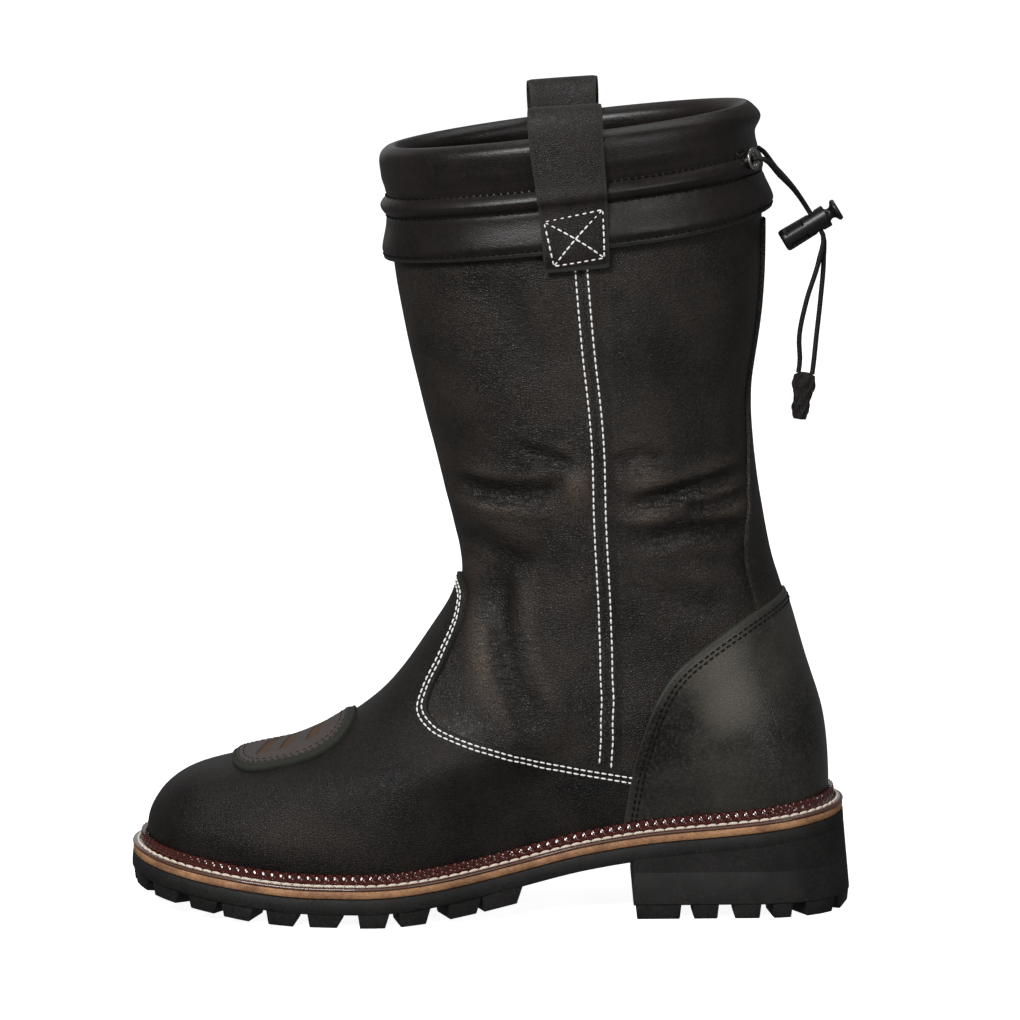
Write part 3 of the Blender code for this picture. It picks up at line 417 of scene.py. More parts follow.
# Studio lights: name, place, aim, width and height in metres, and power in watts.
STUDIO_LIGHTS = (
    ("key", (-0.9, -2.0, 1.75), (0.0, 0.0, 0.18), (1.0, 0.8), 54.0),
    ("fill", (1.3, -2.2, 0.8), (0.0, 0.0, 0.18), (0.9, 0.9), 9.0),
    ("top", (0.2, 0.5, 2.3), (0.0, 0.0, 0.2), (1.6, 1.0), 9.0),
    ("rear", (-0.6, 2.2, 1.2), (0.0, 0.0, 0.18), (2.0, 2.0), 4.0),
)
WORLD_LIGHT = 0.13
FLOOR_GLOW = 0.93
FLOOR_HALF = 30.0 / MM
WHITE = (1.0, 1.0, 1.0, 1.0)


def unit(vectors):
    """The same directions with a length of 1."""
    return vectors / np.linalg.norm(vectors, axis=-1, keepdims=True)


def turns(count):
    """Turns evenly spaced round the boot, the first at the toe."""
    return np.arange(count) / count


def distance_along(line):
    """The distance from a line's start to each of its points."""
    steps = np.linalg.norm(np.diff(line, axis=0), axis=1)
    return np.concatenate([[0.0], np.cumsum(steps)])


def picked(line, marks, at):
    """Points of a line at places between the marks that its own points have."""
    return np.stack([np.interp(at, marks, axis) for axis in line.T], axis=1)


def through(knots, values, at):
    """A smooth curve through the values at the knots, read at other places."""
    knots = np.asarray(knots, float)
    values = np.asarray(values, float)
    slopes = np.gradient(values, knots)
    step = np.clip(np.searchsorted(knots, at, side="right") - 1, 0, len(knots) - 2)
    span = knots[step + 1] - knots[step]
    t = np.clip((at - knots[step]) / span, 0.0, 1.0)
    start = (1 + 2 * t) * (1 - t) ** 2 * values[step]
    end = t * t * (3 - 2 * t) * values[step + 1]
    lean = t * (1 - t) ** 2 * slopes[step] + t * t * (t - 1) * slopes[step + 1]
    return start + end + span * lean


def smooth_line(points, count):
    """Points along a smooth line through a few given ones."""
    points = np.asarray(points, float)
    distances = distance_along(points)
    at = np.linspace(0.0, distances[-1], count)
    return np.stack([through(distances, axis, at) for axis in points.T], axis=1)


def ease(low, high, t):
    s = np.clip((t - low) / (high - low), 0.0, 1.0)
    return s * s * (3 - 2 * s)


def near(distance, half):
    """1 on a line and falling softly to 0 beyond its half width."""
    return np.exp(-((distance / half) ** 2))


def round_end(reach, power):
    s = np.clip(reach, 0.0, 1.0)
    return (1 - (1 - s) ** power) ** (1 / power)


def along_sole(column, x):
    return through([row.x for row in STATIONS], [getattr(row, column) for row in STATIONS], x)


def sole_top(x):
    return along_sole("top", x)


def ground(x):
    return np.maximum(along_sole("ground", x), 0.0)


def sheet_bottom(x):
    return sole_top(x) - SHEET


def sheet_root(x):
    return sheet_bottom(x) + LUG_ROOT


def heel_block_top(x):
    return sheet_bottom(x) - GAP


def midsole_bottom(x):
    return sole_top(x) + GAP


def midsole_top(x):
    return midsole_bottom(x) + MIDSOLE


def welt_bottom(x):
    return midsole_top(x) + GAP


def welt_top(x):
    return welt_bottom(x) + WELT


def feather(x):
    return welt_top(x) + GAP


def sag(x):
    """How far the feather line lies from the straight line between its ends."""
    low, high = SECTIONS[0].front_x, SECTIONS[0].back_x
    share = (x - low) / (high - low)
    return feather(x) - feather(low) - (feather(high) - feather(low)) * share


def section_at(level):
    """The sections' columns at a level between 0, the feather line, and TOP, the collar."""
    columns = np.array([row[1:] for row in SECTIONS]).T
    levels = np.arange(len(SECTIONS), dtype=float)
    return Section("", *(float(through(levels, column, level)) for column in columns))


@lru_cache(maxsize=None)
def half_loop(level, side):
    """One side of a section from front to back, with each point's share of the length."""
    row = section_at(level)
    t = 0.5 - 0.5 * np.cos(np.linspace(0.0, math.pi, 241))
    span = row.back_x - row.front_x
    x = row.front_x + span * t
    width = row.fore + (row.waist - row.fore) * ease(FORE_AT, WAIST_AT, t)
    width = width + (row.heel - row.waist) * ease(WAIST_AT, HEEL_AT, t)
    ends = round_end(t * span / row.nose, row.power)
    ends = ends * round_end((1 - t) * span / row.tail, row.power)
    y = row.follow * along_sole("swing", x) + side * 0.5 * width * ends
    front_z = feather(SECTIONS[0].front_x) + row.front_rise
    back_z = feather(SECTIONS[0].back_x) + row.back_rise
    bend = sag(x) - sag(row.front_x) * (1 - t) - sag(row.back_x) * t
    z = front_z * (1 - t) + back_z * t + row.follow * bend
    points = np.stack([x, y, z], axis=1)
    distances = distance_along(points)
    return points, distances / distances[-1]


def surface(u, level):
    """Points of the upper's outside: u runs 0 to 1 from the toe over the outer side to the heel
    and back over the inner side."""
    u = np.mod(np.asarray(u, float), 1.0)
    half = np.where(u <= 0.5, 2 * u, 2 - 2 * u)
    share = half - END_CLUSTER * np.sin(2 * math.pi * half) / (2 * math.pi)
    outer, inner = (picked(*half_loop(round(float(level), 6), side), share) for side in (-1, 1))
    return np.where((u <= 0.5)[:, None], outer, inner)


def outward(u, level):
    u = np.asarray(u, float)
    around = surface(u + 0.002, level) - surface(u - 0.002, level)
    up = surface(u, min(level + 0.05, TOP)) - surface(u, max(level - 0.05, 0.0))
    return unit(np.cross(around, up))


def turn_length(u, level):
    """The length of a whole turn, measured near one place."""
    pair = surface([u - 0.005, u + 0.005], level)
    return np.linalg.norm(pair[1] - pair[0]) / 0.01


def outline(u, margin):
    """The feather line in plan, moved out by a margin."""
    points = surface(u, 0.0)[:, :2]
    along = surface(np.asarray(u) + 0.002, 0.0) - surface(np.asarray(u) - 0.002, 0.0)
    return points + margin * unit(np.stack([along[:, 1], -along[:, 0]], axis=1))


def height_at(height, x):
    """A height that is given as a number, or by the place along the sole."""
    return height(x) if callable(height) else height


def sole_ring(u, margin, height, rise=0.0):
    plan = outline(u, margin)
    return np.column_stack([plan, np.zeros(len(plan)) + height_at(height, plan[:, 0]) + rise])


def outline_place(x, margin, side):
    """Where along u the outline, moved out by a margin, passes a given x on one side."""
    u = np.linspace(0.02, 0.5, 600)
    if side > 0:
        u = 1.0 - u
    plan = outline(u, margin)[:, 0]
    return float(np.interp(x, np.maximum.accumulate(plan), u))


def lean_heel(points):
    """Moves the heel's points back as they near the floor."""
    moved = np.array(points)
    drop = 1 - moved[:, 2] / HEEL_TALL
    moved[:, 0] += HEEL_LEAN * drop * np.clip((moved[:, 0] - BREAST_X) / HEEL_LONG, 0.0, None)
    return moved


def lean_plan(plan):
    return lean_heel(np.column_stack([plan, np.zeros(len(plan))]))[:, :2]


def heel_ring(back, height, rise=0.0):
    """The heel's outline from the breast round the back, filled across the breast."""
    margin = SOLE_MARGIN - back
    u = np.linspace(*(outline_place(BREAST_X, margin, side) for side in (-1, 1)), HEEL_POINTS)
    return lean_heel(sole_ring(u, margin, height, rise))


def sole_columns(count, margin):
    """Turns evenly spaced along the sole's outline, and the outline's length."""
    u = np.linspace(0.0, 1.0, 2401)
    distances = distance_along(outline(u, margin))
    return np.interp(np.linspace(0.0, distances[-1], count + 1)[:-1], distances, u), distances[-1]


def lug(low_plan, high_plan, low, high):
    """Corners of one lug: its foot drawn in from its root by the draft."""
    corners = [(x, y, float(height_at(low, x))) for x, y in low_plan]
    return corners + [(x, y, float(height_at(high, x))) for x, y in high_plan]


def edge_lug(start, end, low, high, flare=(0.08, 0.08), lean=lambda plan: plan):
    """A lug on the sole's edge between two places on the outline: its root is wider than its
    foot by a share of its length at either end."""
    margin = SOLE_MARGIN - LUG_BACK
    plans = []
    for draft, spread in ((LUG_DRAFT, 0.0), (0.0, end - start)):
        u = np.linspace(start - spread * flare[0], end + spread * flare[1], 3)
        outer = outline(u, margin - draft)
        inner = outline(u[::-1], margin - LUG_REACH + draft)
        plans.append(lean(np.concatenate([outer, inner])))
    return lug(*plans, low, high)


def lug_place(x, side, draft=0.0):
    return outline_place(x, SOLE_MARGIN - LUG_BACK - draft, side)


def plan_box(run, half_width, draft):
    start, end = run.start + draft, run.end - draft
    half = half_width - draft
    return [(start, -half), (end, -half), (end, half), (start, half)]


def lock_frame():
    """The cord lock's frame: its Z runs from the closed end to the plunger, its X with the cord."""
    turn = Matrix.Rotation(LOCK_TILT, 4, "Y")
    along = turn @ Vector((0.0, 0.0, LOCK_SPLIT))
    base = Vector((LOCK_AT[0], 0.0, LOCK_AT[1])) - along
    return Matrix.Translation(base * MM) @ turn


def tab_frame():
    turn = Matrix.Rotation(TAB_TILT, 4, "Y")
    return Matrix.Translation(Vector(TAB_TOP) * MM) @ turn


def relief(places, side):
    """How far the leather stands out of the last at places on one side, and how creased it is."""
    x = places[..., 0]
    z = places[..., 2]
    # Uneven wave lengths, so that no repeat shows.
    height = SWELL * np.sin(x / 15.0 + z / 27.0) * np.sin(z / 17.0 - x / 36.0)
    height = height + DIMPLE * np.sin(x / 7.3 - z / 12.0 + side) * np.sin(z / 9.5 + x / 19.0)
    height = height * ease(70.0, 130.0, z)
    folds = np.zeros(x.shape)
    t = np.linspace(0.0, 1.0, 41)[:, None]
    for crease in CREASES:
        if crease.side != side:
            continue
        start, middle, end = (np.array(place) for place in crease[1:4])
        control = 2 * middle - (start + end) / 2
        arc = (1 - t) ** 2 * start + 2 * t * (1 - t) * control + t * t * end
        reach = 4 * crease.width
        close = (x > arc[:, 0].min() - reach) & (x < arc[:, 0].max() + reach)
        close &= (z > arc[:, 1].min() - reach) & (z < arc[:, 1].max() + reach)
        apart = np.hypot(x[close][:, None] - arc[:, 0], z[close][:, None] - arc[:, 1])
        nearest = np.argmin(apart, axis=1)
        distance = apart[np.arange(len(nearest)), nearest]
        along = t[nearest, 0]
        taper = ease(0.0, 0.25, along) * (1 - ease(0.75, 1.0, along))
        ridge = 0.5 * crease.ridge * near(distance - 2.1 * crease.width, crease.width)
        height[close] += crease.depth * taper * (ridge - near(distance, crease.width))
        furrowed = min(1.0, FURROWED_WIDTH / crease.width)
        spread = taper * near(distance, 2.2 * crease.width + 4.0) * furrowed
        folds[close] = np.maximum(folds[close], spread)
    for bulge in BULGES:
        if bulge.side == side:
            height = height + bulge.rise * spot(places, *bulge[1:5])
    return height, folds


def spot(places, x, z, wide, high):
    """How near places lie to a soft-edged patch in side view: 1 in its middle and 0 far off."""
    return np.exp(-(((places[..., 0] - x) / wide) ** 2) - ((places[..., 2] - z) / high) ** 2)


Chart = namedtuple("Chart", "places normals wear folds")


@lru_cache(maxsize=1)
def chart():
    """The last as a grid of levels by turns: its creased places, normals, and its height out of the
    last, which the finish shows as wear and painted light.
    """
    columns = turns(TURNS)
    levels = np.linspace(0.0, TOP, RISES + 1)
    smooth = np.stack([surface(columns, level) for level in levels])
    height = np.zeros(smooth.shape[:2])
    folds = np.zeros(smooth.shape[:2])
    for side, half in ((-1, columns <= 0.5), (1, columns > 0.5)):
        height[:, half], folds[:, half] = relief(smooth[:, half], side)
    joint = np.minimum(np.abs(columns - 0.5), np.minimum(columns, 1 - columns))
    height = height * (0.35 + 0.65 * ease(0.0, 0.05, joint))
    under_cuff = 1 - ease(TOP - 2.6, TOP - 2.0, levels)
    height = height * under_cuff[:, None]
    places = smooth + height[..., None] * chart_normals(smooth)
    # The height is kept as the mark that the finish paints: paler on swellings, painted shade in troughs.
    return Chart(places, chart_normals(places), height[..., None], folds[..., None])


def chart_normals(places):
    around = np.roll(places, -1, axis=1) - np.roll(places, 1, axis=1)
    return unit(np.cross(around, np.gradient(places, axis=0)))


def read(table, u, v):
    """A chart's values at turns and levels, blended between its four nearest."""
    column = np.mod(u, 1.0) * TURNS
    row = np.clip(np.asarray(v, float) / TOP, 0.0, 1.0) * RISES
    first = np.floor(column).astype(int)
    low = np.minimum(np.floor(row).astype(int), RISES - 1)
    across = (column - first)[..., None]
    up = (row - low)[..., None]
    second = (first + 1) % TURNS
    first = first % TURNS
    under = table[low, first] * (1 - across) + table[low, second] * across
    over = table[low + 1, first] * (1 - across) + table[low + 1, second] * across
    return under * (1 - up) + over * up


def charted(u, v):
    """The wear and painted light, taken from the height out of the last, and the creasing kept at
    places on the upper.
    """
    return {"wear": read(chart().wear, u, v)[..., 0], "folds": read(chart().folds, u, v)[..., 0]}


def normal_at(u, v):
    return unit(read(chart().normals, u, v))


def skin(u, v, offset):
    """Places over the creased last at turns, levels and an offset out of it."""
    u, v, offset = np.broadcast_arrays(np.asarray(u, float), v, offset)
    return read(chart().places, u, v) + offset[..., None] * normal_at(u, v)


def at_rim(u, height, offset):
    """Places by their height above the collar edge and their offset out of the wall."""
    u, height, offset = np.broadcast_arrays(np.asarray(u, float), height, offset)
    placed = skin(u, TOP + np.minimum(height, 0.0) / LEVEL_HEIGHT, offset)
    up = unit(skin(u, TOP, 0.0) - skin(u, TOP - 0.3, 0.0))
    return placed + np.maximum(height, 0.0)[..., None] * up


def drawn_in(u, height, offset, back_height, back_offset):
    """A fold of the cuff at turns: its height and offset, in its back form towards the back."""
    back = 1.0 - ease(BACK_NEAR, BACK_FAR, np.abs(np.asarray(u, float) - 0.5))
    return height + back * (back_height - height), offset + back * (back_offset - offset)


def cuff_rows():
    """The cuff's cross-section from its lower edge over the top to its facing, closely spaced."""
    folds = np.array([fold[1:] for fold in CUFF])
    distances = distance_along(folds[:, :2])
    at = np.unique(np.concatenate([np.linspace(0.0, distances[-1], 110), distances]))
    return np.stack([through(distances, column, at) for column in folds.T], axis=1)


def eyelet_place(side):
    """An eyelet's middle and the direction it faces."""
    u = np.array([0.5 + side * (0.5 - EYELET_AT)])
    level = TOP + EYELET.back_height / LEVEL_HEIGHT
    return at_rim(u, *drawn_in(u, *EYELET[1:]))[0], normal_at(u, level)[0]


def find(places, side):
    """The turns and levels of places given in side view, on the outer or the inner side."""
    half = TURNS // 2
    columns = np.arange(half + 1) if side < 0 else np.arange(half, TURNS + 1)
    flat = chart().places[:, columns % TURNS][..., [0, 2]].reshape(-1, 2)
    low, high = columns[0] / TURNS, columns[-1] / TURNS
    turn_step, level_step = 0.001, 0.02
    found = []
    for place in places:
        nearest = int(np.argmin(np.sum((flat - place) ** 2, axis=1)))
        u = columns[nearest % len(columns)] / TURNS
        v = nearest // len(columns) / RISES * TOP
        for _ in range(6):
            around = np.array([u, u + turn_step, u]), np.array([v, v, v + level_step])
            here, turned, raised = read(chart().places, *around)[:, [0, 2]]
            slopes = np.stack([(turned - here) / turn_step, (raised - here) / level_step], 1)
            square = slopes.T @ slopes + np.diag([400.0, 0.5])
            step = np.linalg.solve(square, slopes.T @ (np.asarray(place) - here))
            u = float(np.clip(u + np.clip(step[0], -0.01, 0.01), low, high - 1e-6))
            v = float(np.clip(v + np.clip(step[1], -0.2, 0.2), 0.0, TOP))
        found.append((u, v))
    return np.array(found).T


def inset(u, v, distance):
    """A line of turns and levels moved sideways over the leather, to its left seen from outside."""

    def dot(first, second):
        return np.sum(first * second, 1)

    ahead = np.gradient(skin(u, v, 0.0), axis=0)
    left = distance * unit(np.cross(normal_at(u, v), ahead))
    by_turn = (skin(u + 0.002, v, 0.0) - skin(u - 0.002, v, 0.0)) / 0.004
    by_level = (skin(u, v + 0.03, 0.0) - skin(u, v - 0.03, 0.0)) / 0.06
    a, b, c = dot(by_turn, by_turn), dot(by_turn, by_level), dot(by_level, by_level)
    p, q = dot(by_turn, left), dot(by_level, left)
    det = a * c - b * b
    return u + (c * p - b * q) / det, v + (a * q - b * p) / det


def evenly(u, v, count):
    """The same line of turns and levels, with its points evenly spaced over the leather."""
    distances = distance_along(skin(u, v, 0.0))
    at = np.linspace(0.0, distances[-1], count)
    return np.interp(at, distances, u), np.interp(at, distances, v)


@lru_cache(maxsize=None)
def counter_edge(side):
    """The counter's free edge from the welt up to the middle of the back."""
    line = [point for point in smooth_line(COUNTER_EDGE, 70) if point[1] > feather(point[0]) + 0.5]
    u, v = find(line, side)
    held = np.abs(u - 0.5) > CLEAR_TURN
    u, v = u[held], v[held]
    middle = v[-1] + (v[-1] - v[-4]) * 0.4
    return evenly(np.append(u, 0.5), np.append(v, middle), 120)


def counter_rear(side):
    """The counter's free edge with turns counted from the toe."""
    u, v = counter_edge(side)
    return (u if side < 0 else 1.0 - u), v


def counter_line():
    """The counter's whole free edge, from the welt over the back to the welt."""
    outer_turn, outer_level = counter_edge(-1)
    inner_turn, inner_level = counter_edge(1)
    turn = np.concatenate([outer_turn, inner_turn[::-1][1:]])
    return turn, np.concatenate([outer_level, inner_level[::-1][1:]])


@lru_cache(maxsize=None)
def vamp_edge(side):
    """The vamp's free edge from the front of the ankle back to under the counter, with turns
    counted from the toe."""
    u, v = find(smooth_line(VAMP_EDGE, 110), side)
    turn = u if side < 0 else 1.0 - u
    rear_turn, rear_level = counter_rear(side)
    kept = (turn > CLEAR_TURN) & (turn < np.interp(v, rear_level, rear_turn) + CLEAR_TURN)
    start = v[np.argmax(turn > CLEAR_TURN)]
    turn = np.maximum.accumulate(turn[kept])
    u, v = evenly(np.insert(turn, 0, 0.0) * -side, np.insert(v[kept], 0, start + 0.1), 140)
    return u * -side, v


def overlay_rows(count, last, lift, marks):
    """Rows of an overlay from the welt to its rounded cut edge: the share of the way, the offset
    out of the last and the raw-edge mark."""
    rows = [(share, lift, 0.0) for share in np.linspace(0.0, last, count)]
    return rows + [(last + 0.008, lift - 0.1, marks[0]), (1.0, lift - 0.5, marks[1]), (1.0, 0.05, marks[1])]


@lru_cache(maxsize=1)
def vamp_grid():
    """The vamp's places row by row from the welt to its free edge, with their raw-edge marks."""
    inner_turn, inner_level = vamp_edge(1)
    outer_turn, outer_level = vamp_edge(-1)
    turn = np.concatenate([-inner_turn[::-1], outer_turn[1:]])
    level = np.concatenate([inner_level[::-1], outer_level[1:]])
    places = []
    raw = []
    for share, offset, mark in overlay_rows(62, 0.988, GAP + VAMP, (0.2, 0.45)):
        v = share * level
        u = np.array(turn)
        for side, held in ((1, turn < 0), (-1, turn >= 0)):
            rear_turn, rear_level = counter_rear(side)
            end = vamp_edge(side)[1][-1]
            rear = np.interp(np.minimum(v[held], end), rear_level, rear_turn) + CLEAR_TURN
            u[held] = turn[held] * rear / (np.interp(end, rear_level, rear_turn) + CLEAR_TURN)
        places.append(skin(u, v, offset))
        raw.append(np.full(len(u), mark))
    return np.stack(places), np.stack(raw)


def seam_line(side):
    """The side seam's middle line from the vamp up to the strap's foot."""
    knots = np.array(SIDE_SEAM)
    height = np.linspace(knots[0, 1], knots[-1, 1], 90)
    across = through(knots[:, 1], knots[:, 0], height)
    even = np.ones(5) / 5
    smoothed = []
    for line in find(np.column_stack([across, height]), side):
        longer = np.pad(line, len(even) // 2, "reflect", reflect_type="odd")
        smoothed.append(np.convolve(longer, even, "valid"))
    return evenly(*smoothed, 240)


def strap_grid(strap):
    """A strap's places ring by ring along it, each ring round its section, with raw-edge marks."""
    knots = np.arange(len(PULL_STRAP), dtype=float)
    table = np.array([bend[1:] for bend in PULL_STRAP])
    at = np.linspace(0.0, knots[-1], 92)
    height, offset, width = (through(knots, column, at) for column in table.T)
    ahead = unit(np.gradient(np.stack([height, offset], 1), axis=0))
    across = np.linspace(-0.5, 0.5, 17)
    narrow = PULL_STRAP[0].width
    rounding = np.clip(np.minimum(across + 0.5, 0.5 - across) * narrow / STRAP_EDGE, 0.0, 1.0)
    thick = STRAP / 2 * (0.62 + 0.38 * np.sqrt(1 - (1 - rounding) ** 2))
    ring_across = np.concatenate([across, across[::-1]])
    ring_thick = np.concatenate([thick, -thick[::-1]])
    top = max(bend.height for bend in PULL_STRAP)
    places = []
    for k in range(len(at)):
        level = min(TOP, TOP + height[k] / LEVEL_HEIGHT)
        u = strap.at + ring_across * width[k] / turn_length(strap.at, level)
        free = np.clip(height[k] / top, 0.0, 1.0)
        loop = at_rim(u, height[k] - ahead[k, 1] * ring_thick, offset[k] + ahead[k, 0] * ring_thick)
        loop[:, 0] += free * STRAP_LEAN
        loop[:, 2] += free * (strap.rise + strap.level * ring_across)
        places.append(loop)
    raw = np.tile(np.where(np.abs(ring_across) > 0.487, 0.6, 0.0), (len(at), 1))
    raw[[0, 1, -2, -1]] = 0.9
    return np.stack(places), raw


def strap_line(strap, corners):
    """Places on a strap's outer face through corners given as shares across and heights."""
    bends = PULL_STRAP[:OUTER_BENDS]
    knots = [bend.height for bend in bends]
    share = np.linspace(0.0, 1.0, 24)[:, None]
    across, height = (np.array(corners[0]) * (1 - share) + np.array(corners[1]) * share).T
    level = TOP + height / LEVEL_HEIGHT
    per_turn = np.array([turn_length(strap.at, value) for value in level])
    u = strap.at + across * through(knots, [bend.width for bend in bends], height) / per_turn
    offset = through(knots, [bend.offset for bend in bends], height) + STRAP / 2 + 0.12
    return at_rim(u, height, offset), normal_at(u, level)


def strand_route(side, hanging):
    """A strand's points: out of its eyelet, through the lock and down to the tab."""
    place, normal = eyelet_place(side)
    lock = lock_frame()
    in_lock = [Vector((reach, side * STRAND_APART, LOCK_SPLIT)) for reach in (-6.0, 0.0, 6.0)]
    through_lock = [lock @ (point * MM) / MM for point in in_lock]
    to_tab = [tab_frame() @ (Vector((side * TAB_CORDS, 0.0, rise)) * MM) / MM for rise in (5.0, GAP)]
    start = [place + normal * 0.5, place + normal * 4.0]
    falling = [(point.x, side * point.y, point.z) for point in STRAND_TO_LOCK]
    return [*start, *falling, *through_lock, *hanging, *to_tab]


def pad_plan(share, turn):
    reach = (np.abs(np.cos(turn)) ** PAD_POWER + np.abs(np.sin(turn)) ** PAD_POWER) ** (-1 / PAD_POWER)
    x = PAD_CENTRE[0] + PAD_HALF[0] * share * reach * np.cos(turn)
    return x, PAD_CENTRE[1] + PAD_HALF[1] * share * reach * np.sin(turn)


@lru_cache(maxsize=1)
def vamp_tree():
    places = vamp_grid()[0]
    flat = [tuple(place) for place in places.reshape(-1, 3)]
    return BVHTree.FromPolygons(flat, quads(*places.shape[:2]))


def dropped(x, y):
    """Places on the vamp straight under points in plan, and the directions the leather faces."""
    places = []
    facing = []
    for plan in zip(np.ravel(x), np.ravel(y)):
        hit, normal = vamp_tree().ray_cast(Vector((*plan, 200.0)), Vector((0.0, 0.0, -1.0)))[:2]
        if hit is None:
            raise RuntimeError("the shift pad reaches past the vamp")
        places.append(hit)
        facing.append(normal if normal.z > 0 else -normal)
    return np.array(places), np.array(facing)


def quads(rows, columns, closed=False, looped=False):
    """Faces of a grid stored row after row. A closed grid joins its last column to its first, and
    a looped one its last row to its first."""
    row = np.arange(rows if looped else rows - 1)[:, None] * columns
    above = (row + columns) % (rows * columns)
    left = np.arange(columns if closed else columns - 1)[None, :]
    right = (left + 1) % columns
    corners = [row + left, row + right, above + right, above + left]
    return np.stack(corners, axis=-1).reshape(-1, 4).tolist()


def end_caps(rows, columns):
    """The two faces that close the ends of a tube of rings."""
    return [list(range(columns))[::-1], [(rows - 1) * columns + k for k in range(columns)]]


def slab_faces(rows, columns, tail=0):
    """Faces of stacked rings with both ends filled by strips from side to side. The tail is 1 for
    a ring that starts at one side instead of in the middle."""
    faces = quads(rows, columns, closed=True)
    top = (rows - 1) * columns
    for k in range((columns - tail) // 2):
        far = [(columns - tail - k - 1) % columns, (columns - tail - k) % columns]
        corners = list(dict.fromkeys([k, k + 1, *far]))
        faces.append([top + i for i in corners])
        faces.append(corners[::-1])
    return faces


def ring(radius, turn, height):
    return np.column_stack([radius * np.cos(turn), radius * np.sin(turn), 0 * turn + height])


def lathe(profile, steps):
    """Points and faces of a form turned about Z, from its heights and radii."""
    rows = [ring(radius, 2 * math.pi * turns(steps), height) for height, radius in profile]
    return np.concatenate(rows), quads(len(profile), steps, closed=True)


def dressed(mesh, finishes, crisp):
    """An object with a smooth-shaded mesh, crisp past an angle, and its finishes."""
    mesh.polygons.foreach_set("use_smooth", np.ones(len(mesh.polygons), bool))
    mesh.set_sharp_from_angle(angle=math.radians(crisp))
    for name in finishes:
        mesh.materials.append(finish(name))
    made = bpy.data.objects.new(mesh.name, mesh)
    bpy.context.scene.collection.objects.link(made)
    return made


def add_mesh(name, points, faces, finishes, marks=None, crisp=40.0):
    """A mesh in millimetres, with its finishes and any values kept at its points."""
    mesh = bpy.data.meshes.new(name)
    mesh.from_pydata((np.asarray(points, float) * MM).tolist(), [], faces)
    for mark, values in (marks or {}).items():
        kept = mesh.attributes.new(mark, "FLOAT", "POINT")
        kept.data.foreach_set("value", np.ascontiguousarray(values, np.float32).ravel())
    return dressed(mesh, finishes, crisp)


def settle(made, slot, *nodes, body="boot"):
    """Rides a placed piece on its body and hides the solids that it stands for; its slot is not used."""
    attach(made, body)
    if nodes:
        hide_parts(*nodes)
    return made


def add_panel(name, grid, leather_name, slot, *nodes, marks=None, closed=False, crisp=40.0):
    """A settled piece of leather from rows of places."""
    faces = quads(*grid.shape[:2], closed)
    panel = add_mesh(name, grid.reshape(-1, 3), faces, [leather_name], marks, crisp)
    return settle(panel, slot, *nodes)


def add_slab(name, rings, finish_name, slot, node, tail=0, crisp=50.0):
    """A settled layer of the sole from its rings, filled at the top and bottom."""
    faces = slab_faces(len(rings), len(rings[0]), tail)
    slab = add_mesh(name, np.concatenate(rings), faces, [finish_name], crisp=crisp)
    return settle(slab, slot, node)


def hull_blocks(name, blocks, finish_name):
    """One mesh of separate convex blocks with eased edges, each the hull of its corner points."""
    whole = bmesh.new()
    for corners in blocks:
        bm = bmesh.new()
        verts = [bm.verts.new(Vector(corner) * MM) for corner in corners]
        bmesh.ops.convex_hull(bm, input=verts)
        bmesh.ops.dissolve_limit(bm, angle_limit=0.06, verts=bm.verts, edges=bm.edges)
        bmesh.ops.bevel(
            bm,
            geom=bm.edges[:],
            offset=LUG_BEVEL * MM,
            segments=2,
            profile=0.6,
            affect="EDGES",
            clamp_overlap=True,
        )
        part = bpy.data.meshes.new("block")
        bm.to_mesh(part)
        bm.free()
        whole.from_mesh(part)
        bpy.data.meshes.remove(part)
    mesh = bpy.data.meshes.new(name)
    whole.to_mesh(mesh)
    whole.free()
    return dressed(mesh, [finish_name], 35.0)


Thread = namedtuple("Thread", "length width pitch sink")


def stitches(name, rows, thread, finish_name):
    """One mesh of sewn stitches: each row is a line of places with the directions they face."""
    rings = 7
    sides = 8
    along = np.linspace(-1.0, 1.0, rings)
    girth = np.sqrt(np.clip(1 - np.abs(along) ** 3, 0.04, 1.0))
    round_it = 2 * math.pi * turns(sides)
    shape = np.concatenate([ring(g, round_it, a) for a, g in zip(along, girth)])[:, [2, 0, 1]]
    shape = shape * [thread.length / 2, thread.width / 2, thread.width / 2]
    shape[:, 2] -= thread.sink * (np.abs(shape[:, 0]) / (thread.length / 2)) ** 2
    loop = quads(rings, sides, closed=True) + end_caps(rings, sides)
    points = []
    faces = []
    for places, facing in rows:
        distances = distance_along(places)
        count = max(1, int(round(distances[-1] / thread.pitch)))
        at = (np.arange(count) + 0.5) * distances[-1] / count
        middle = picked(places, distances, at)
        ahead = unit(picked(places, distances, at + 0.8) - picked(places, distances, at - 0.8))
        up = picked(facing, distances, at)
        up = unit(up - ahead * np.sum(ahead * up, 1, keepdims=True))
        side = np.cross(up, ahead)
        for k in range(count):
            base = len(points) * len(shape)
            points.append(middle[k] + shape @ np.stack([ahead[k], side[k], up[k]]))
            faces.extend([base + i for i in face] for face in loop)
    return add_mesh(name, np.concatenate(points), faces, [finish_name], crisp=80.0)


def sewn(u, v, offset):
    """A stitch row over the leather: its places and the directions they face."""
    return skin(u, v, offset), normal_at(u, v)


def tube_line(name, points, radius, finish_name):
    """A cord as a curve of one open spline with a round section."""
    curve = bpy.data.curves.new(name, "CURVE")
    curve.dimensions = "3D"
    curve.bevel_depth = radius * MM
    curve.bevel_resolution = 5
    curve.use_fill_caps = True
    spline = curve.splines.new("POLY")
    spline.points.add(len(points) - 1)
    for held, point in zip(spline.points, points):
        held.co = (*(np.asarray(point) * MM), 1.0)
    spline.use_smooth = True
    curve.materials.append(finish(finish_name))
    made = bpy.data.objects.new(name, curve)
    bpy.context.scene.collection.objects.link(made)
    return made


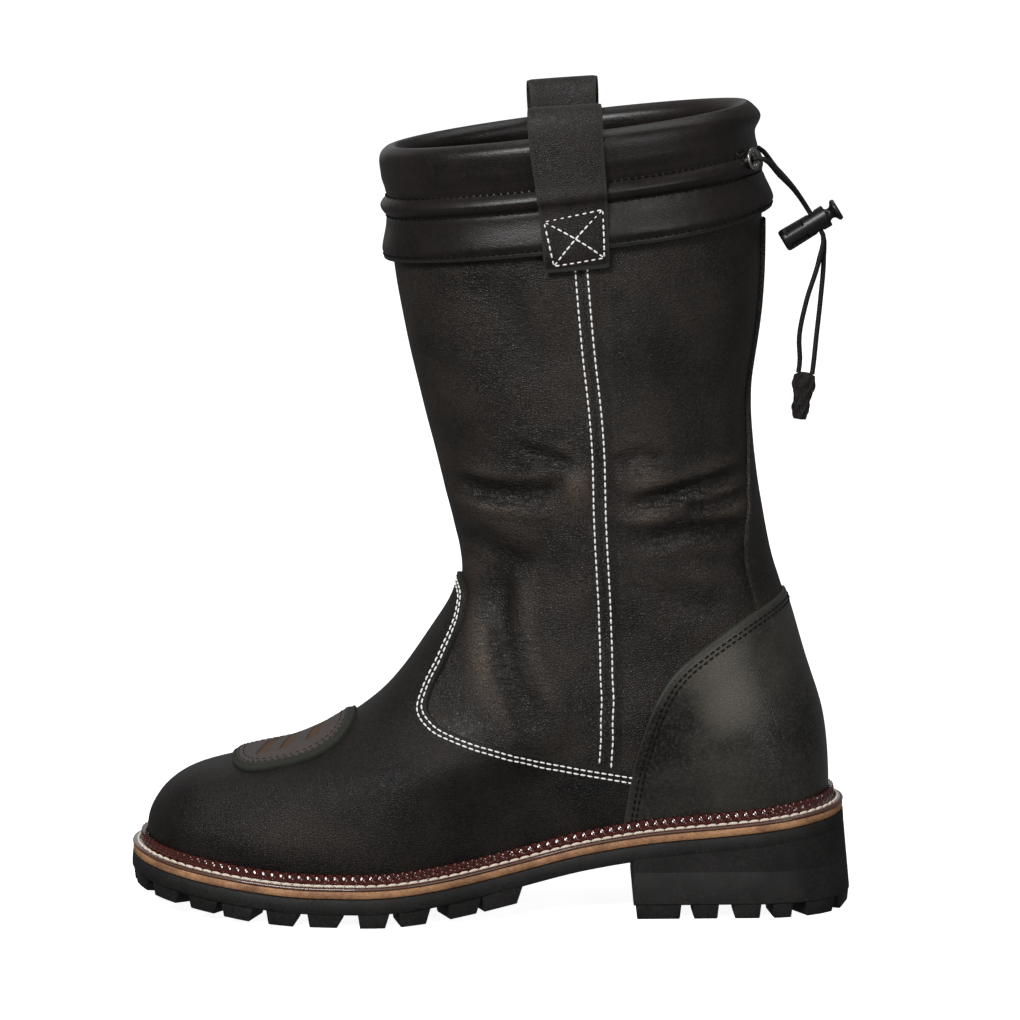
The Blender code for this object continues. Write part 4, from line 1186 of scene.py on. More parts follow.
def linear(code):
    """An sRGB hex colour as linear red, green and blue."""
    parts = [int(code[k : k + 2], 16) / 255 for k in (1, 3, 5)]
    return tuple(c / 12.92 if c <= 0.04045 else ((c + 0.055) / 1.055) ** 2.4 for c in parts)


def length(name, description, millimetres):
    """A changeable length, given in millimetres and kept in metres."""
    return FloatProperty(
        name=name,
        description=description,
        subtype="DISTANCE",
        unit="LENGTH",
        default=millimetres * MM,
    )


def tone(name, description, code):
    """A changeable colour, given as an sRGB hex value."""
    return FloatVectorProperty(name=name, description=description, subtype="COLOR", default=linear(code))


class BootSizes(bpy.types.PropertyGroup):
    """Sizes that can be changed without changing the solids."""

    # Real pebbles are about half as wide: these are drawn coarser so that they show.
    grain: length("Leather grain", "Width of a pebble of the leather", 1.1)
    stitch: length("Stitch length", "Visible length of a stitch", 2.45)
    thread: length("Thread", "Thickness of the sewing thread", 0.78)
    pitch: length("Stitch pitch", "Distance between stitches", 3.05)
    welt_pitch: length("Welt stitch pitch", "Distance between welt stitches", 4.6)
    bead: length("Welt bead", "Distance between beads of the storm welt", 3.9)


class BootColours(bpy.types.PropertyGroup):
    """Colours of the leathers, rubber, threads and fittings."""

    upper: tone("Upper leather", "Shaft leather where the wax lies thick", "#171412")
    upper_pulled: tone("Upper leather, pulled", "Shaft leather where the wax has moved", "#423932")
    vamp: tone("Vamp leather", "Leather of the vamp and toe", "#100e0d")
    vamp_pulled: tone("Vamp leather, pulled", "Vamp leather where the wax has moved", "#332c28")
    counter: tone("Counter leather", "Leather of the heel counter", "#141211")
    # Made paler in the finish, this tone also paints the counter's highlight.
    counter_pulled: tone("Counter leather, pulled", "Counter leather where it is rubbed", "#534f48")
    cuff: tone("Cuff leather", "Soft leather of the collar cuff", "#110e0d")
    cuff_pulled: tone("Cuff leather, pulled", "Cuff leather where it is stretched", "#2a2320")
    strap: tone("Strap leather", "Leather of the pull straps", "#141110")
    strap_pulled: tone("Strap leather, pulled", "Strap leather where it is bent", "#332b27")
    raw_edge: tone("Raw edge", "Cut edge of the leathers", "#363832")
    pad: tone("Shift pad", "Field of the shift pad", "#4f4846")
    pad_light: tone("Shift pad, worn", "Field of the shift pad where it is rubbed", "#5f5755")
    pad_border: tone("Shift pad, border", "Rough border of the shift pad", "#33352f")
    slot: tone("Pad slot", "Grain of the pad's slots", "#6a4f39")
    slot_dark: tone("Pad slot, dark", "Valleys in the pad's slots", "#3a2a1f")
    welt: tone("Storm welt", "Polished welt leather", "#5a170c")
    welt_dark: tone("Storm welt, dark", "Polished welt leather in its hollows", "#2c0a06")
    welt_edge: tone("Welt edge", "Trimmed edge of the welt", "#5c3a2a")
    midsole: tone("Midsole", "Tan leather of the midsole", "#c29169")
    midsole_dark: tone("Midsole, burnished", "Burnished runs of the midsole", "#876046")
    rubber: tone("Rubber", "Sole rubber", "#171615")
    rubber_dust: tone("Rubber, dusty", "Sole rubber where it is dusty", "#2a2827")
    thread: tone("White thread", "Seam thread", "#ffffff")
    thread_shade: tone("White thread, shaded", "Valleys of the seam thread", "#e9e6df")
    black_thread: tone("Black thread", "Dark seam thread", "#141211")
    black_shade: tone("Black thread, shaded", "Valleys of the dark thread", "#0a0909")
    welt_thread: tone("Welt thread", "Waxed thread of the welt", "#fff8ea")
    welt_thread_shade: tone("Welt thread, shaded", "Valleys of the welt thread", "#d8c9ae")
    eyelet: tone("Eyelet", "Plated metal of the eyelets", "#b4b2ae")
    cord: tone("Drawcord", "Braid of the drawcord", "#0f0e0d")
    cord_light: tone("Drawcord, light", "Strands of the drawcord that catch light", "#262422")
    lock: tone("Cord lock", "Plastic of the cord lock", "#131212")
    lock_light: tone("Cord lock, worn", "Plastic of the cord lock where it is handled", "#1f1e1d")
    lining: tone("Lining", "Lining cloth", "#332f2c")
    lining_dark: tone("Lining, dark", "Valleys of the lining cloth", "#1c1a18")


def size(name):
    """A changeable size in millimetres."""
    return getattr(bpy.context.scene.boot_sizes, name) / MM


def feed(node, inputs):
    """Fills a node's inputs, by name or in order: another node's output is linked, and anything
    else is set."""
    for key, value in inputs.items() if isinstance(inputs, dict) else enumerate(inputs):
        if isinstance(value, bpy.types.NodeSocket):
            node.id_data.links.new(value, node.inputs[key])
        else:
            node.inputs[key].default_value = value


def add_node(tree, kind, inputs=(), output=0, **settings):
    """Adds a shader node with its settings and inputs, and gives one of its outputs."""
    node = tree.nodes.new(f"ShaderNode{kind}")
    for name, value in settings.items():
        setattr(node, name, value)
    feed(node, inputs)
    return node.outputs[output]


def new_finish(name):
    """A plain material: its nodes, its shader, and the place on the piece in metres."""
    material = bpy.data.materials.new(name)
    material.use_nodes = True
    tree = material.node_tree
    return tree, tree.nodes["Principled BSDF"], add_node(tree, "TexCoord", output="Object")


def per(width):
    """A pattern's scale from the width of one of its marks in millimetres."""
    return 1 / (width * MM)


def opaque(colour):
    return (*colour, 1.0)


Hide = namedtuple("Hide", "dark pulled raw grain patch rough_low rough_high bump level coat")


def leather(name, hide):
    """Cowhide with a rolled finish: painted shade in the valleys between fine pebbles, brown where the
    wax has moved, paler on swellings with rubbed wear and painted sheen, painted shade in hollows
    and furrows, and a fibrous cut edge."""
    tree, shader, place = new_finish(name)
    # A darker copy of the leather, painted as shade in hollows, furrows and pebble valleys.
    shade = tuple(0.4 * c for c in hide.dark)
    # A paler copy of the pulled tone, painted where the mark is high: rubbed wear, painted sheen and
    # painted highlights.
    pale = tuple(min(1.0, 1.9 * c) for c in hide.pulled)
    cloud = {"Vector": place, "Scale": per(hide.patch), "Detail": 5.0, "Roughness": 0.62}
    patch = add_node(tree, "TexNoise", cloud)
    speckle = {"Vector": place, "Scale": per(1.5), "Detail": 3.0, "Roughness": 0.7}
    fleck = add_node(tree, "TexNoise", speckle)
    cells = {"Vector": place, "Scale": per(hide.grain)}
    pebble = add_node(tree, "TexVoronoi", cells, feature="DISTANCE_TO_EDGE")
    dome = add_node(tree, "MapRange", (pebble, 0.0, 0.3))
    lying = {"Vector": place, "Scale": (0.3, 0.3, 1.0), "Rotation": (0.0, 0.12, 0.0)}
    along = add_node(tree, "Mapping", lying)
    wrinkle = {"Vector": along, "Scale": per(3.0), "Detail": 3.0, "Roughness": 0.6}
    folded = add_node(tree, "Math", (add_node(tree, "TexNoise", wrinkle), 0.5), operation="PINGPONG")
    folds = add_node(tree, "Attribute", output="Fac", attribute_name="folds")
    wear = add_node(tree, "Attribute", output="Fac", attribute_name="wear")
    raw = add_node(tree, "Attribute", output="Fac", attribute_name="raw")
    amount = add_node(tree, "Math", (folds, 0.9, 0.06), operation="MULTIPLY_ADD")
    crest = add_node(tree, "MapRange", (folded, 0.455, 0.5))
    furrow = add_node(tree, "Math", (crest, amount), operation="MULTIPLY")
    colour = opaque(hide.dark)
    for share, layer in (
        (add_node(tree, "MapRange", (patch, 0.38, 0.8)), hide.pulled),
        (add_node(tree, "MapRange", (fleck, 0.46, 0.8, 0.0, 0.8)), hide.pulled),
        # Paler where the mark is high: partly rubbed wear, partly painted sheen and painted highlights.
        (add_node(tree, "MapRange", (wear, 0.25, 1.8, 0.0, 0.9)), pale),
        # Painted shade where the mark is low: in crease troughs, seam grooves and shaded patches.
        (add_node(tree, "MapRange", (wear, -0.2, -1.8, 0.0, 0.65)), shade),
        # Painted shade in the valleys between the pebbles.
        (add_node(tree, "MapRange", (pebble, 0.0, 0.16, hide.bump, 0.0)), shade),
        # Painted shade in the wrinkles' furrows.
        (add_node(tree, "Math", (furrow, 0.4), operation="MULTIPLY"), shade),
        (raw, hide.raw),
    ):
        colour = add_node(tree, "Mix", {0: share, 6: colour, 7: opaque(layer)}, 2, data_type="RGBA")
    gloss = add_node(tree, "MapRange", (patch, 0.3, 0.7, hide.rough_low, hide.rough_high))
    deep = {"Strength": 1.0, "Distance": 0.4 * MM, "Height": furrow}
    wrinkled = add_node(tree, "Bump", deep, invert=True)
    grain = add_node(tree, "Math", (fleck, 0.7, dome), operation="MULTIPLY_ADD")
    fine = {"Strength": hide.bump, "Distance": 0.22 * MM, "Height": grain, "Normal": wrinkled}
    feed(shader, {
        "Base Color": colour,
        "Roughness": add_node(tree, "Math", (raw, 0.3, gloss), operation="MULTIPLY_ADD"),
        "Normal": add_node(tree, "Bump", fine),
        "Specular IOR Level": hide.level,
        "Coat Weight": hide.coat,
        "Coat Roughness": 0.3,
    })
    return tree.nodes, colour


Mould = namedtuple("Mould", "dark light grain bump rough_low rough_high level")


def moulded(name, mould):
    """A moulded surface in two close tones: dust and handling lighten it in patches, and its grit
    breaks the gloss."""
    tree, shader, place = new_finish(name)
    cloud = {"Vector": place, "Scale": per(14.0), "Detail": 6.0, "Roughness": 0.65}
    sand = {"Vector": place, "Scale": per(mould.grain), "Detail": 3.0, "Roughness": 0.6}
    grit = add_node(tree, "TexNoise", sand)
    dusty = add_node(tree, "Math", (add_node(tree, "TexNoise", cloud), grit), operation="MULTIPLY")
    share = add_node(tree, "MapRange", (dusty, 0.16, 0.38))
    tones = {0: share, 6: opaque(mould.dark), 7: opaque(mould.light)}
    rough = add_node(tree, "MapRange", (grit, 0.3, 0.7, mould.rough_low, mould.rough_high))
    bumps = {"Strength": mould.bump, "Distance": 0.14 * MM, "Height": grit}
    feed(shader, {
        "Base Color": add_node(tree, "Mix", tones, 2, data_type="RGBA"),
        "Roughness": rough,
        "Normal": add_node(tree, "Bump", bumps),
        "Specular IOR Level": mould.level,
    })


Twist = namedtuple("Twist", "dark light spacing bump rough level glow")
# A faint painted glow on the white thread, so that it shows white.
THREAD_GLOW = 0.18


def twisted(name, twist):
    """Spun thread, braid or cloth: fine slanted strands with painted shade in the valleys between them,
    and on the braid painted light on the strands, drawn coarser than the yarn's own so that they show."""
    tree, shader, place = new_finish(name)
    bands = {
        "Vector": place,
        "Scale": 1 / (twist.spacing * 3.2 * MM),
        "Distortion": 1.5,
        "Detail": 2.0,
        "Detail Scale": 1.5,
    }
    strand = add_node(tree, "TexWave", bands, "Fac", wave_type="BANDS", bands_direction="DIAGONAL")
    tones = {0: strand, 6: opaque(twist.dark), 7: opaque(twist.light)}
    bumps = {"Strength": twist.bump, "Distance": 0.2 * MM, "Height": strand}
    feed(shader, {
        "Base Color": add_node(tree, "Mix", tones, 2, data_type="RGBA"),
        "Normal": add_node(tree, "Bump", bumps),
        "Roughness": twist.rough,
        "Specular IOR Level": twist.level,
    })
    # A faint painted glow, given only to the white thread.
    if twist.glow:
        feed(shader, {"Emission Color": opaque(twist.light), "Emission Strength": twist.glow})


def shift_pad_leather(name, tones):
    """Split leather with a printed panel: a pale cut border, a matt mauve-grey field and three
    brown slots filled with rough cord-like grain, dark round their rims."""
    hide = Hide(tones.pad, tones.pad_light, tones.pad_border, 0.8, 16.0, 0.55, 0.7, 0.4, 0.25, 0.0)
    nodes, colour = leather(name, hide)
    tree = bpy.data.materials[name].node_tree
    place = add_node(tree, "TexCoord", output="Object")
    weave = add_node(tree, "TexNoise", {"Vector": place, "Scale": per(0.8), "Detail": 2.0})
    fill = {0: weave, 6: opaque(tones.slot_dark), 7: opaque(tones.slot)}
    brown = add_node(tree, "Mix", fill, 2, data_type="RGBA")
    slot = add_node(tree, "Attribute", output="Fac", attribute_name="slot")
    rim = add_node(tree, "Math", (slot, 0.5), operation="PINGPONG")
    for share, layer in ((slot, brown), (rim, opaque(tones.black_shade))):
        colour = add_node(tree, "Mix", {0: share, 6: colour, 7: layer}, 2, data_type="RGBA")
    feed(nodes["Principled BSDF"], {"Base Color": colour})


def storm_welt(name, tones):
    """Polished storm welt: wax over red-brown dyed leather gives sharp glints on the beads, and
    the trimmed edge shows the paler, duller flesh."""
    tree, shader, place = new_finish(name)
    dye = {"Vector": place, "Scale": per(2.6), "Detail": 4.0, "Roughness": 0.6}
    cloud = add_node(tree, "TexNoise", dye)
    reds = {0: cloud, 6: opaque(tones.welt_dark), 7: opaque(tones.welt)}
    red = add_node(tree, "Mix", reds, 2, data_type="RGBA")
    edge = add_node(tree, "Attribute", output="Fac", attribute_name="raw")
    trimmed = {0: edge, 6: red, 7: opaque(tones.welt_edge)}
    feed(shader, {
        "Base Color": add_node(tree, "Mix", trimmed, 2, data_type="RGBA"),
        "Roughness": add_node(tree, "MapRange", (edge, 0.0, 1.0, 0.12, 0.6)),
        "Normal": add_node(tree, "Bump", {"Strength": 0.5, "Distance": 0.35 * MM, "Height": cloud}),
        "Specular IOR Level": 0.7,
        "Coat Weight": 1.0,
        "Coat Roughness": 0.07,
    })


def trimmed_edge(name, tones):
    """Vegetable-tanned midsole leather, trimmed and burnished: long pale fibres with darker runs."""
    tree, shader, place = new_finish(name)
    along = add_node(tree, "Mapping", {"Vector": place, "Scale": (0.4, 0.4, 1.0)})
    threads = {"Vector": along, "Scale": per(0.7), "Detail": 5.0, "Roughness": 0.65}
    fibre = add_node(tree, "TexNoise", threads)
    stain = add_node(tree, "TexNoise", {"Vector": place, "Scale": per(9.0), "Detail": 4.0})
    stained = add_node(tree, "Math", (fibre, stain), operation="MULTIPLY")
    share = add_node(tree, "MapRange", (stained, 0.14, 0.34))
    browns = {0: share, 6: opaque(tones.midsole_dark), 7: opaque(tones.midsole)}
    feed(shader, {
        "Base Color": add_node(tree, "Mix", browns, 2, data_type="RGBA"),
        "Normal": add_node(tree, "Bump", {"Strength": 0.4, "Distance": 0.15 * MM, "Height": fibre}),
        "Roughness": 0.55,
        "Specular IOR Level": 0.3,
    })


def plated_eyelet(name, tones):
    """Nickel-plated brass: bright, with handling marks that blur the reflection in patches."""
    tree, shader, place = new_finish(name)
    marks = add_node(tree, "TexNoise", {"Vector": place, "Scale": per(1.2), "Detail": 4.0})
    feed(shader, {
        "Roughness": add_node(tree, "MapRange", (marks, 0.0, 1.0, 0.16, 0.42)),
        "Base Color": opaque(tones.eyelet),
        "Metallic": 1.0,
    })


def backdrop_paper(name, tones):
    """Backdrop paper: matt white, with a faint glow that keeps it evenly lit."""
    tree, shader, place = new_finish(name)
    fibre = add_node(tree, "TexNoise", {"Vector": place, "Scale": per(3.0), "Detail": 2.0})
    feed(shader, {
        "Normal": add_node(tree, "Bump", {"Strength": 0.05, "Distance": 0.1 * MM, "Height": fibre}),
        "Base Color": (0.9, 0.9, 0.9, 1.0),
        "Roughness": 0.9,
        "Specular IOR Level": 0.1,
        "Emission Color": WHITE,
        "Emission Strength": FLOOR_GLOW,
    })


def looks(tones, grain):
    """Each finish by name: the function that makes it and what that is given."""
    cut = tones.raw_edge
    return {
        # Oiled and tumbled: a broken sheen over pebbles, and brown where the wax has moved.
        "Oiled_cowhide_upper": (
            leather,
            Hide(tones.upper, tones.upper_pulled, cut, grain, 34.0, 0.4, 0.55, 0.8, 0.4, 0.03),
        ),
        # The same hide, lasted tight over the toe: darker and more matt.
        "Oiled_cowhide_vamp": (
            leather,
            Hide(tones.vamp, tones.vamp_pulled, cut, grain, 40.0, 0.46, 0.6, 0.7, 0.3, 0.0),
        ),
        # The same hide, moulded over a stiffener and rubbed: smoother, with a soft gloss and a painted
        # highlight in its middle.
        "Oiled_cowhide_counter": (
            leather,
            Hide(tones.counter, tones.counter_pulled, cut, grain, 60.0, 0.3, 0.42, 0.3, 0.5, 0.15),
        ),
        # Thin and supple over padding: nearly smooth, with long soft highlights.
        "Glove_leather_cuff": (
            leather,
            Hide(tones.cuff, tones.cuff_pulled, cut, 0.8, 40.0, 0.33, 0.42, 0.14, 0.42, 0.06),
        ),
        # Firm and flat: an even fine grain with a dull sheen.
        "Strap_leather": (
            leather,
            Hide(tones.strap, tones.strap_pulled, cut, 0.8, 20.0, 0.4, 0.55, 0.5, 0.36, 0.03),
        ),
        # A crumpled offcut: matt, with close dark folds.
        "Folded_end_leather": (
            leather,
            Hide(tones.cuff, tones.strap_pulled, cut, 0.6, 6.0, 0.45, 0.65, 0.6, 0.3, 0.0),
        ),
        # Pressed in a blasted mould: black, gritty and dull, greyer where dust holds.
        "Vulcanised_rubber": (
            moulded,
            Mould(tones.rubber, tones.rubber_dust, 1.0, 1.0, 0.5, 0.8, 0.3),
        ),
        # Injected and lightly spark-eroded: black with a satin gloss.
        "Moulded_acetal": (
            moulded,
            Mould(tones.lock, tones.lock_light, 0.3, 0.12, 0.28, 0.42, 0.45),
        ),
        # Napped cloth: soft, with no gloss.
        "Brushed_textile_lining": (
            twisted,
            Twist(tones.lining_dark, tones.lining, 0.7, 0.5, 0.92, 0.15, 0.0),
        ),
        # Bright spun nylon, with a faint painted glow that keeps it white.
        "White_nylon_thread": (
            twisted,
            Twist(tones.thread_shade, tones.thread, 0.5, 0.3, 0.6, 0.3, THREAD_GLOW),
        ),
        # Dyed spun nylon: nearly as dark as the leather, and duller.
        "Black_nylon_thread": (
            twisted,
            Twist(tones.black_shade, tones.black_thread, 0.5, 0.3, 0.75, 0.2, 0.0),
        ),
        # Thick linen drawn through wax: cream, with brown painted shade in its valleys.
        "Waxed_linen_thread": (
            twisted,
            Twist(tones.welt_thread_shade, tones.welt_thread, 0.7, 0.4, 0.6, 0.3, 0.0),
        ),
        # A round braid: black, with small lights on its crossings.
        "Braided_polyester_cord": (
            twisted,
            Twist(tones.cord, tones.cord_light, 0.8, 0.6, 0.62, 0.3, 0.0),
        ),
        "Printed_split_leather_pad": (shift_pad_leather, tones),
        "Polished_storm_welt": (storm_welt, tones),
        "Burnished_tan_leather": (trimmed_edge, tones),
        "Nickel_plated_brass": (plated_eyelet, tones),
        "Backdrop_paper": (backdrop_paper, tones),
    }


def finish(name):
    """A finish by name, made the first time that it is asked for."""
    if name not in bpy.data.materials:
        make, look = looks(bpy.context.scene.boot_colours, size("grain"))[name]
        make(name, look)
    return bpy.data.materials[name]


class BOOT_OT_stage(bpy.types.Operator):
    """Adds the camera, the pale floor and the soft studio light"""

    bl_idname = "boot.add_stage"
    bl_label = "Stage"

    def execute(self, context):
        scene = context.scene
        target = Vector(CAMERA_TARGET) * MM
        away = Vector((0.0, -math.cos(CAMERA_RISE), math.sin(CAMERA_RISE)))
        camera = bpy.data.objects.new("camera", bpy.data.cameras.new("camera"))
        camera.data.sensor_fit = "HORIZONTAL"
        camera.data.angle = CAMERA_ANGLE
        camera.data.clip_end = 60.0
        camera.location = target + away * CAMERA_DISTANCE * MM
        camera.rotation_euler = away.to_track_quat("Z", "Y").to_euler()
        scene.collection.objects.link(camera)
        scene.camera = camera

        corners = ((-1, -1, 0), (1, -1, 0), (1, 1, 0), (-1, 1, 0))
        floor = add_mesh("floor", np.array(corners) * FLOOR_HALF, [[0, 1, 2, 3]], ["Backdrop_paper"])
        floor.visible_diffuse = False
        floor.visible_glossy = False
        for name, place, aim, spread, power in STUDIO_LIGHTS:
            lamp = bpy.data.lights.new(name, "AREA")
            lamp.shape = "RECTANGLE"
            lamp.size, lamp.size_y = spread
            lamp.energy = power
            made = bpy.data.objects.new(name, lamp)
            made.location = place
            made.rotation_euler = (Vector(place) - Vector(aim)).to_track_quat("Z", "Y").to_euler()
            scene.collection.objects.link(made)
        world = bpy.data.worlds.new("studio")
        world.use_nodes = True
        feed(world.node_tree.nodes["Background"], {"Color": WHITE, "Strength": WORLD_LIGHT})
        scene.world = world
        scene.view_settings.view_transform = "Standard"
        scene.view_settings.look = "None"
        return {"FINISHED"}


class BOOT_OT_cord_lock(bpy.types.Operator):
    """Adds the cord lock: a barrel with side windows, and the plunger that slides in it"""

    bl_idname = "boot.add_cord_lock"
    bl_label = "Cord lock"

    def execute(self, context):
        turn = 2 * math.pi * turns(96)
        along = np.linspace(0.0, BARREL_LENGTH, 90)
        radius = np.tile(np.interp(along, *np.array(BARREL_FORM).T)[:, None], (1, len(turn)))
        window = ease(*WINDOW_FROM, along) * (1 - ease(*WINDOW_TO, along))
        for middle in np.arange(4) * math.pi / 2 + math.pi / 4:
            across = 1 - ease(*WINDOW_HALF, self.swing(turn, middle))
            radius -= WINDOW_DEPTH * window[:, None] * across
        for middle in (0.0, math.pi):
            aside = self.swing(turn, middle) * MOUTH_RADIUS / MOUTH_HALF[1]
            mouth = np.hypot((along[:, None] - LOCK_SPLIT) / MOUTH_HALF[0], aside)
            radius -= MOUTH_DEPTH * (1 - ease(*MOUTH_EDGE, mouth))
        rings = [ring(r, turn, z) for z, r in (*BARREL_FOOT, *zip(along, radius), *BARREL_BORE)]
        barrel = np.concatenate(rings), quads(len(rings), len(turn), closed=True)
        plunger = lathe(PLUNGER_FORM, 64)
        for name, body, form in (("barrel", "boot", barrel), ("plunger", "plunger", plunger)):
            made = add_mesh(f"lock_{name}", *form, ["Moulded_acetal"], crisp=50.0)
            made.matrix_world = lock_frame()
            settle(made, "lock_plastic", f"cord_lock_{name}", body=body)
        return {"FINISHED"}

    def swing(self, turn, middle):
        """How far angles lie from a middle one, either way round."""
        return np.abs((turn - middle + math.pi) % (2 * math.pi) - math.pi)


class BOOT_OT_end_tab(bpy.types.Operator):
    """Adds the crinkled leather tab that holds the drawcord's ends"""

    bl_idname = "boot.add_end_tab"
    bl_label = "End tab"

    def execute(self, context):
        turn = 2 * math.pi * turns(72)
        shape_x = np.sign(np.cos(turn)) * np.abs(np.cos(turn)) ** 0.6
        shape_y = np.sign(np.sin(turn)) * np.abs(np.sin(turn)) ** 0.75
        rings = []
        for along, half in smooth_line(TAB, 60):
            fold = sum(high * np.sin(count * turn + twist * along) for high, count, twist in TAB_FOLDS)
            pinch = 1 - 0.16 * near(along + 11.0, 3.0)
            end = min(1.0, 0.72 + 0.28 * math.sqrt(max(0.0, 1 - max(0.0, 1 + along / 1.2) ** 2)))
            x = (half * pinch - 0.25) * end * shape_x + fold * np.cos(turn)
            y = (TAB_THICK / 2 - 0.2) * end * shape_y + fold * np.sin(turn)
            rings.append(np.column_stack([x, y, 0 * turn + along]))
        top = [rings[0] * [share, share, 1.0] + [0.0, 0.0, TAB_DOME] for share in (0.02, 0.92)]
        foot = [rings[-1] * [share, share, 1.0] for share in (0.7, 0.02)]
        rings = [*top, *rings, *foot][::-1]
        faces = quads(len(rings), len(turn), closed=True)
        tab = add_mesh("end_tab", np.concatenate(rings), faces, ["Folded_end_leather"], crisp=60.0)
        tab.matrix_world = tab_frame()
        settle(tab, "cuff_leather", "cord_end_tab")
        return {"FINISHED"}


class BOOT_OT_drawcords(bpy.types.Operator):
    """Adds the drawcord's two strands, from the eyelets through the lock to the tab"""

    bl_idname = "boot.add_drawcords"
    bl_label = "Drawcords"

    def execute(self, context):
        pieces = bpy.data.objects
        carried = [pieces["end_tab"], pieces["lock_barrel"], pieces["lock_plunger"]]
        strands = ((OUTER_STRAND, carried), (INNER_STRAND, carried[:1]))
        for (side, name), (hanging, held) in zip(SIDES, strands):
            points = smooth_line(strand_route(side, hanging), STRAND_POINTS)
            strand = tube_line(f"strand_{name}", points, CORD / 2, "Braided_polyester_cord")
            settle(strand, "cord", f"drawcord_{name}")
        return {"FINISHED"}


class BOOT_OT_upper(bpy.types.Operator):
    """Adds the creased upper with its lining"""

    bl_idname = "boot.add_upper"
    bl_label = "Upper"

    def execute(self, context):
        steps = np.linalg.norm(np.diff(chart().places, axis=0), axis=2).mean(axis=1)
        distances = np.concatenate([[0.0], np.cumsum(steps)])
        levels = np.linspace(0.0, TOP, RISES + 1)
        outer = np.interp(np.linspace(0.0, distances[-1], UPPER_ROWS), distances, levels)
        inner = np.interp(np.linspace(distances[-1], 0.0, LINING_ROWS), distances, levels)
        u = turns(UPPER_COLUMNS)
        rings = [skin(u, level, 0.0) for level in outer] + [skin(u, level, -WALL) for level in inner]
        kept = charted(*np.meshgrid(u, outer))
        marks = {mark: np.pad(grid, ((0, LINING_ROWS), (0, 0))) for mark, grid in kept.items()}
        faces = quads(len(rings), UPPER_COLUMNS, closed=True, looped=True)
        finishes = ["Oiled_cowhide_upper", "Brushed_textile_lining"]
        upper = add_mesh("upper_leather", np.concatenate(rings), faces, finishes, marks)
        kinds = np.zeros((len(rings), UPPER_COLUMNS), np.int32)
        kinds[UPPER_ROWS:-1] = 1
        upper.data.polygons.foreach_set("material_index", kinds.ravel())
        settle(upper, "black_leather", "upper")
        return {"FINISHED"}


class BOOT_OT_vamp(bpy.types.Operator):
    """Adds the vamp over the toe and instep"""

    bl_idname = "boot.add_vamp"
    bl_label = "Vamp"

    def execute(self, context):
        places, raw = vamp_grid()
        # Painted light on the vamp: a painted highlight on the side of the toe, and painted shade in a
        # broad patch behind it.
        toe_highlight = spot(places, -84.0, 40.0, 28.0, 12.0)
        shaded = spot(places, -48.0, 66.0, 18.0, 16.0)
        marks = {"raw": raw, "wear": 1.1 * toe_highlight - 1.1 * shaded}
        add_panel("vamp_leather", places, "Oiled_cowhide_vamp", "black_leather", "vamp", marks=marks)
        return {"FINISHED"}


class BOOT_OT_counter(bpy.types.Operator):
    """Adds the heel counter with its raw cut edge"""

    bl_idname = "boot.add_counter"
    bl_label = "Heel counter"

    def execute(self, context):
        turn, level = counter_line()
        rise = np.linspace(0.0, 1.0, len(turn) // 2 + 1)
        outer_seat = turn[0] + (0.5 - turn[0]) * rise
        inner_seat = turn[-1] + (0.5 - turn[-1]) * rise[-2::-1]
        seat = np.concatenate([outer_seat, inner_seat])
        places = []
        raw = []
        wear = []
        for share, offset, mark in overlay_rows(64, 0.985, GAP + COUNTER + COUNTER_LIFT, (0.7, 1.0)):
            u = seat + (turn - seat) * share
            placed = skin(u, np.clip(share * level, 0.0, TOP), offset)
            places.append(placed)
            raw.append(np.full(len(u), mark))
            # Painted light on the counter: a painted highlight in its middle, the rest mixed a little
            # towards the shade copy, and a lighter band inside the edge.
            rim = np.maximum(0.0, share - 0.88) * 8 * (mark == 0)
            wear.append(2.2 * spot(placed, 102.0, 98.0, 18.0, 24.0) - 0.7 + 1.2 * rim)
        add_panel(
            "counter_leather",
            np.stack(places),
            "Oiled_cowhide_counter",
            "counter_leather",
            "counter",
            marks={"raw": np.stack(raw), "wear": np.stack(wear)},
        )
        return {"FINISHED"}


class BOOT_OT_back_stay(bpy.types.Operator):
    """Adds the strip over the back seam of the shaft"""

    bl_idname = "boot.add_back_stay"
    bl_label = "Back stay"

    def execute(self, context):
        heights, halves = np.array(STAY_EDGE).T
        shares = np.concatenate([[-1.0, -1.0], np.linspace(-1.0, 1.0, 41), [1.0, 1.0]])
        edges = [0, 1, -2, -1]
        offsets = np.full(len(shares), GAP + STAY)
        offsets[edges] = 0.05, GAP + STAY - STAY_ROUNDING, GAP + STAY - STAY_ROUNDING, 0.05
        places = []
        for level in np.linspace(STAY_FROM, TOP + CUFF[0].height / LEVEL_HEIGHT - 0.012, 96):
            pair = skin(np.array([0.495, 0.505]), level, 0.0)
            per_turn = np.linalg.norm(pair[1] - pair[0]) / 0.01
            half = through(heights, halves, pair[0, 2])
            across = np.clip(shares, STAY_ROUNDING / half - 1.0, 1.0 - STAY_ROUNDING / half)
            across[edges] = shares[edges]
            places.append(skin(0.5 + across * half / per_turn, level, offsets))
        raw = np.zeros((len(places), len(shares)))
        raw[:, edges] = 0.08
        add_panel(
            "back_stay_leather",
            np.stack(places),
            "Oiled_cowhide_upper",
            "black_leather",
            "back_stay",
            marks={"raw": raw},
        )
        return {"FINISHED"}


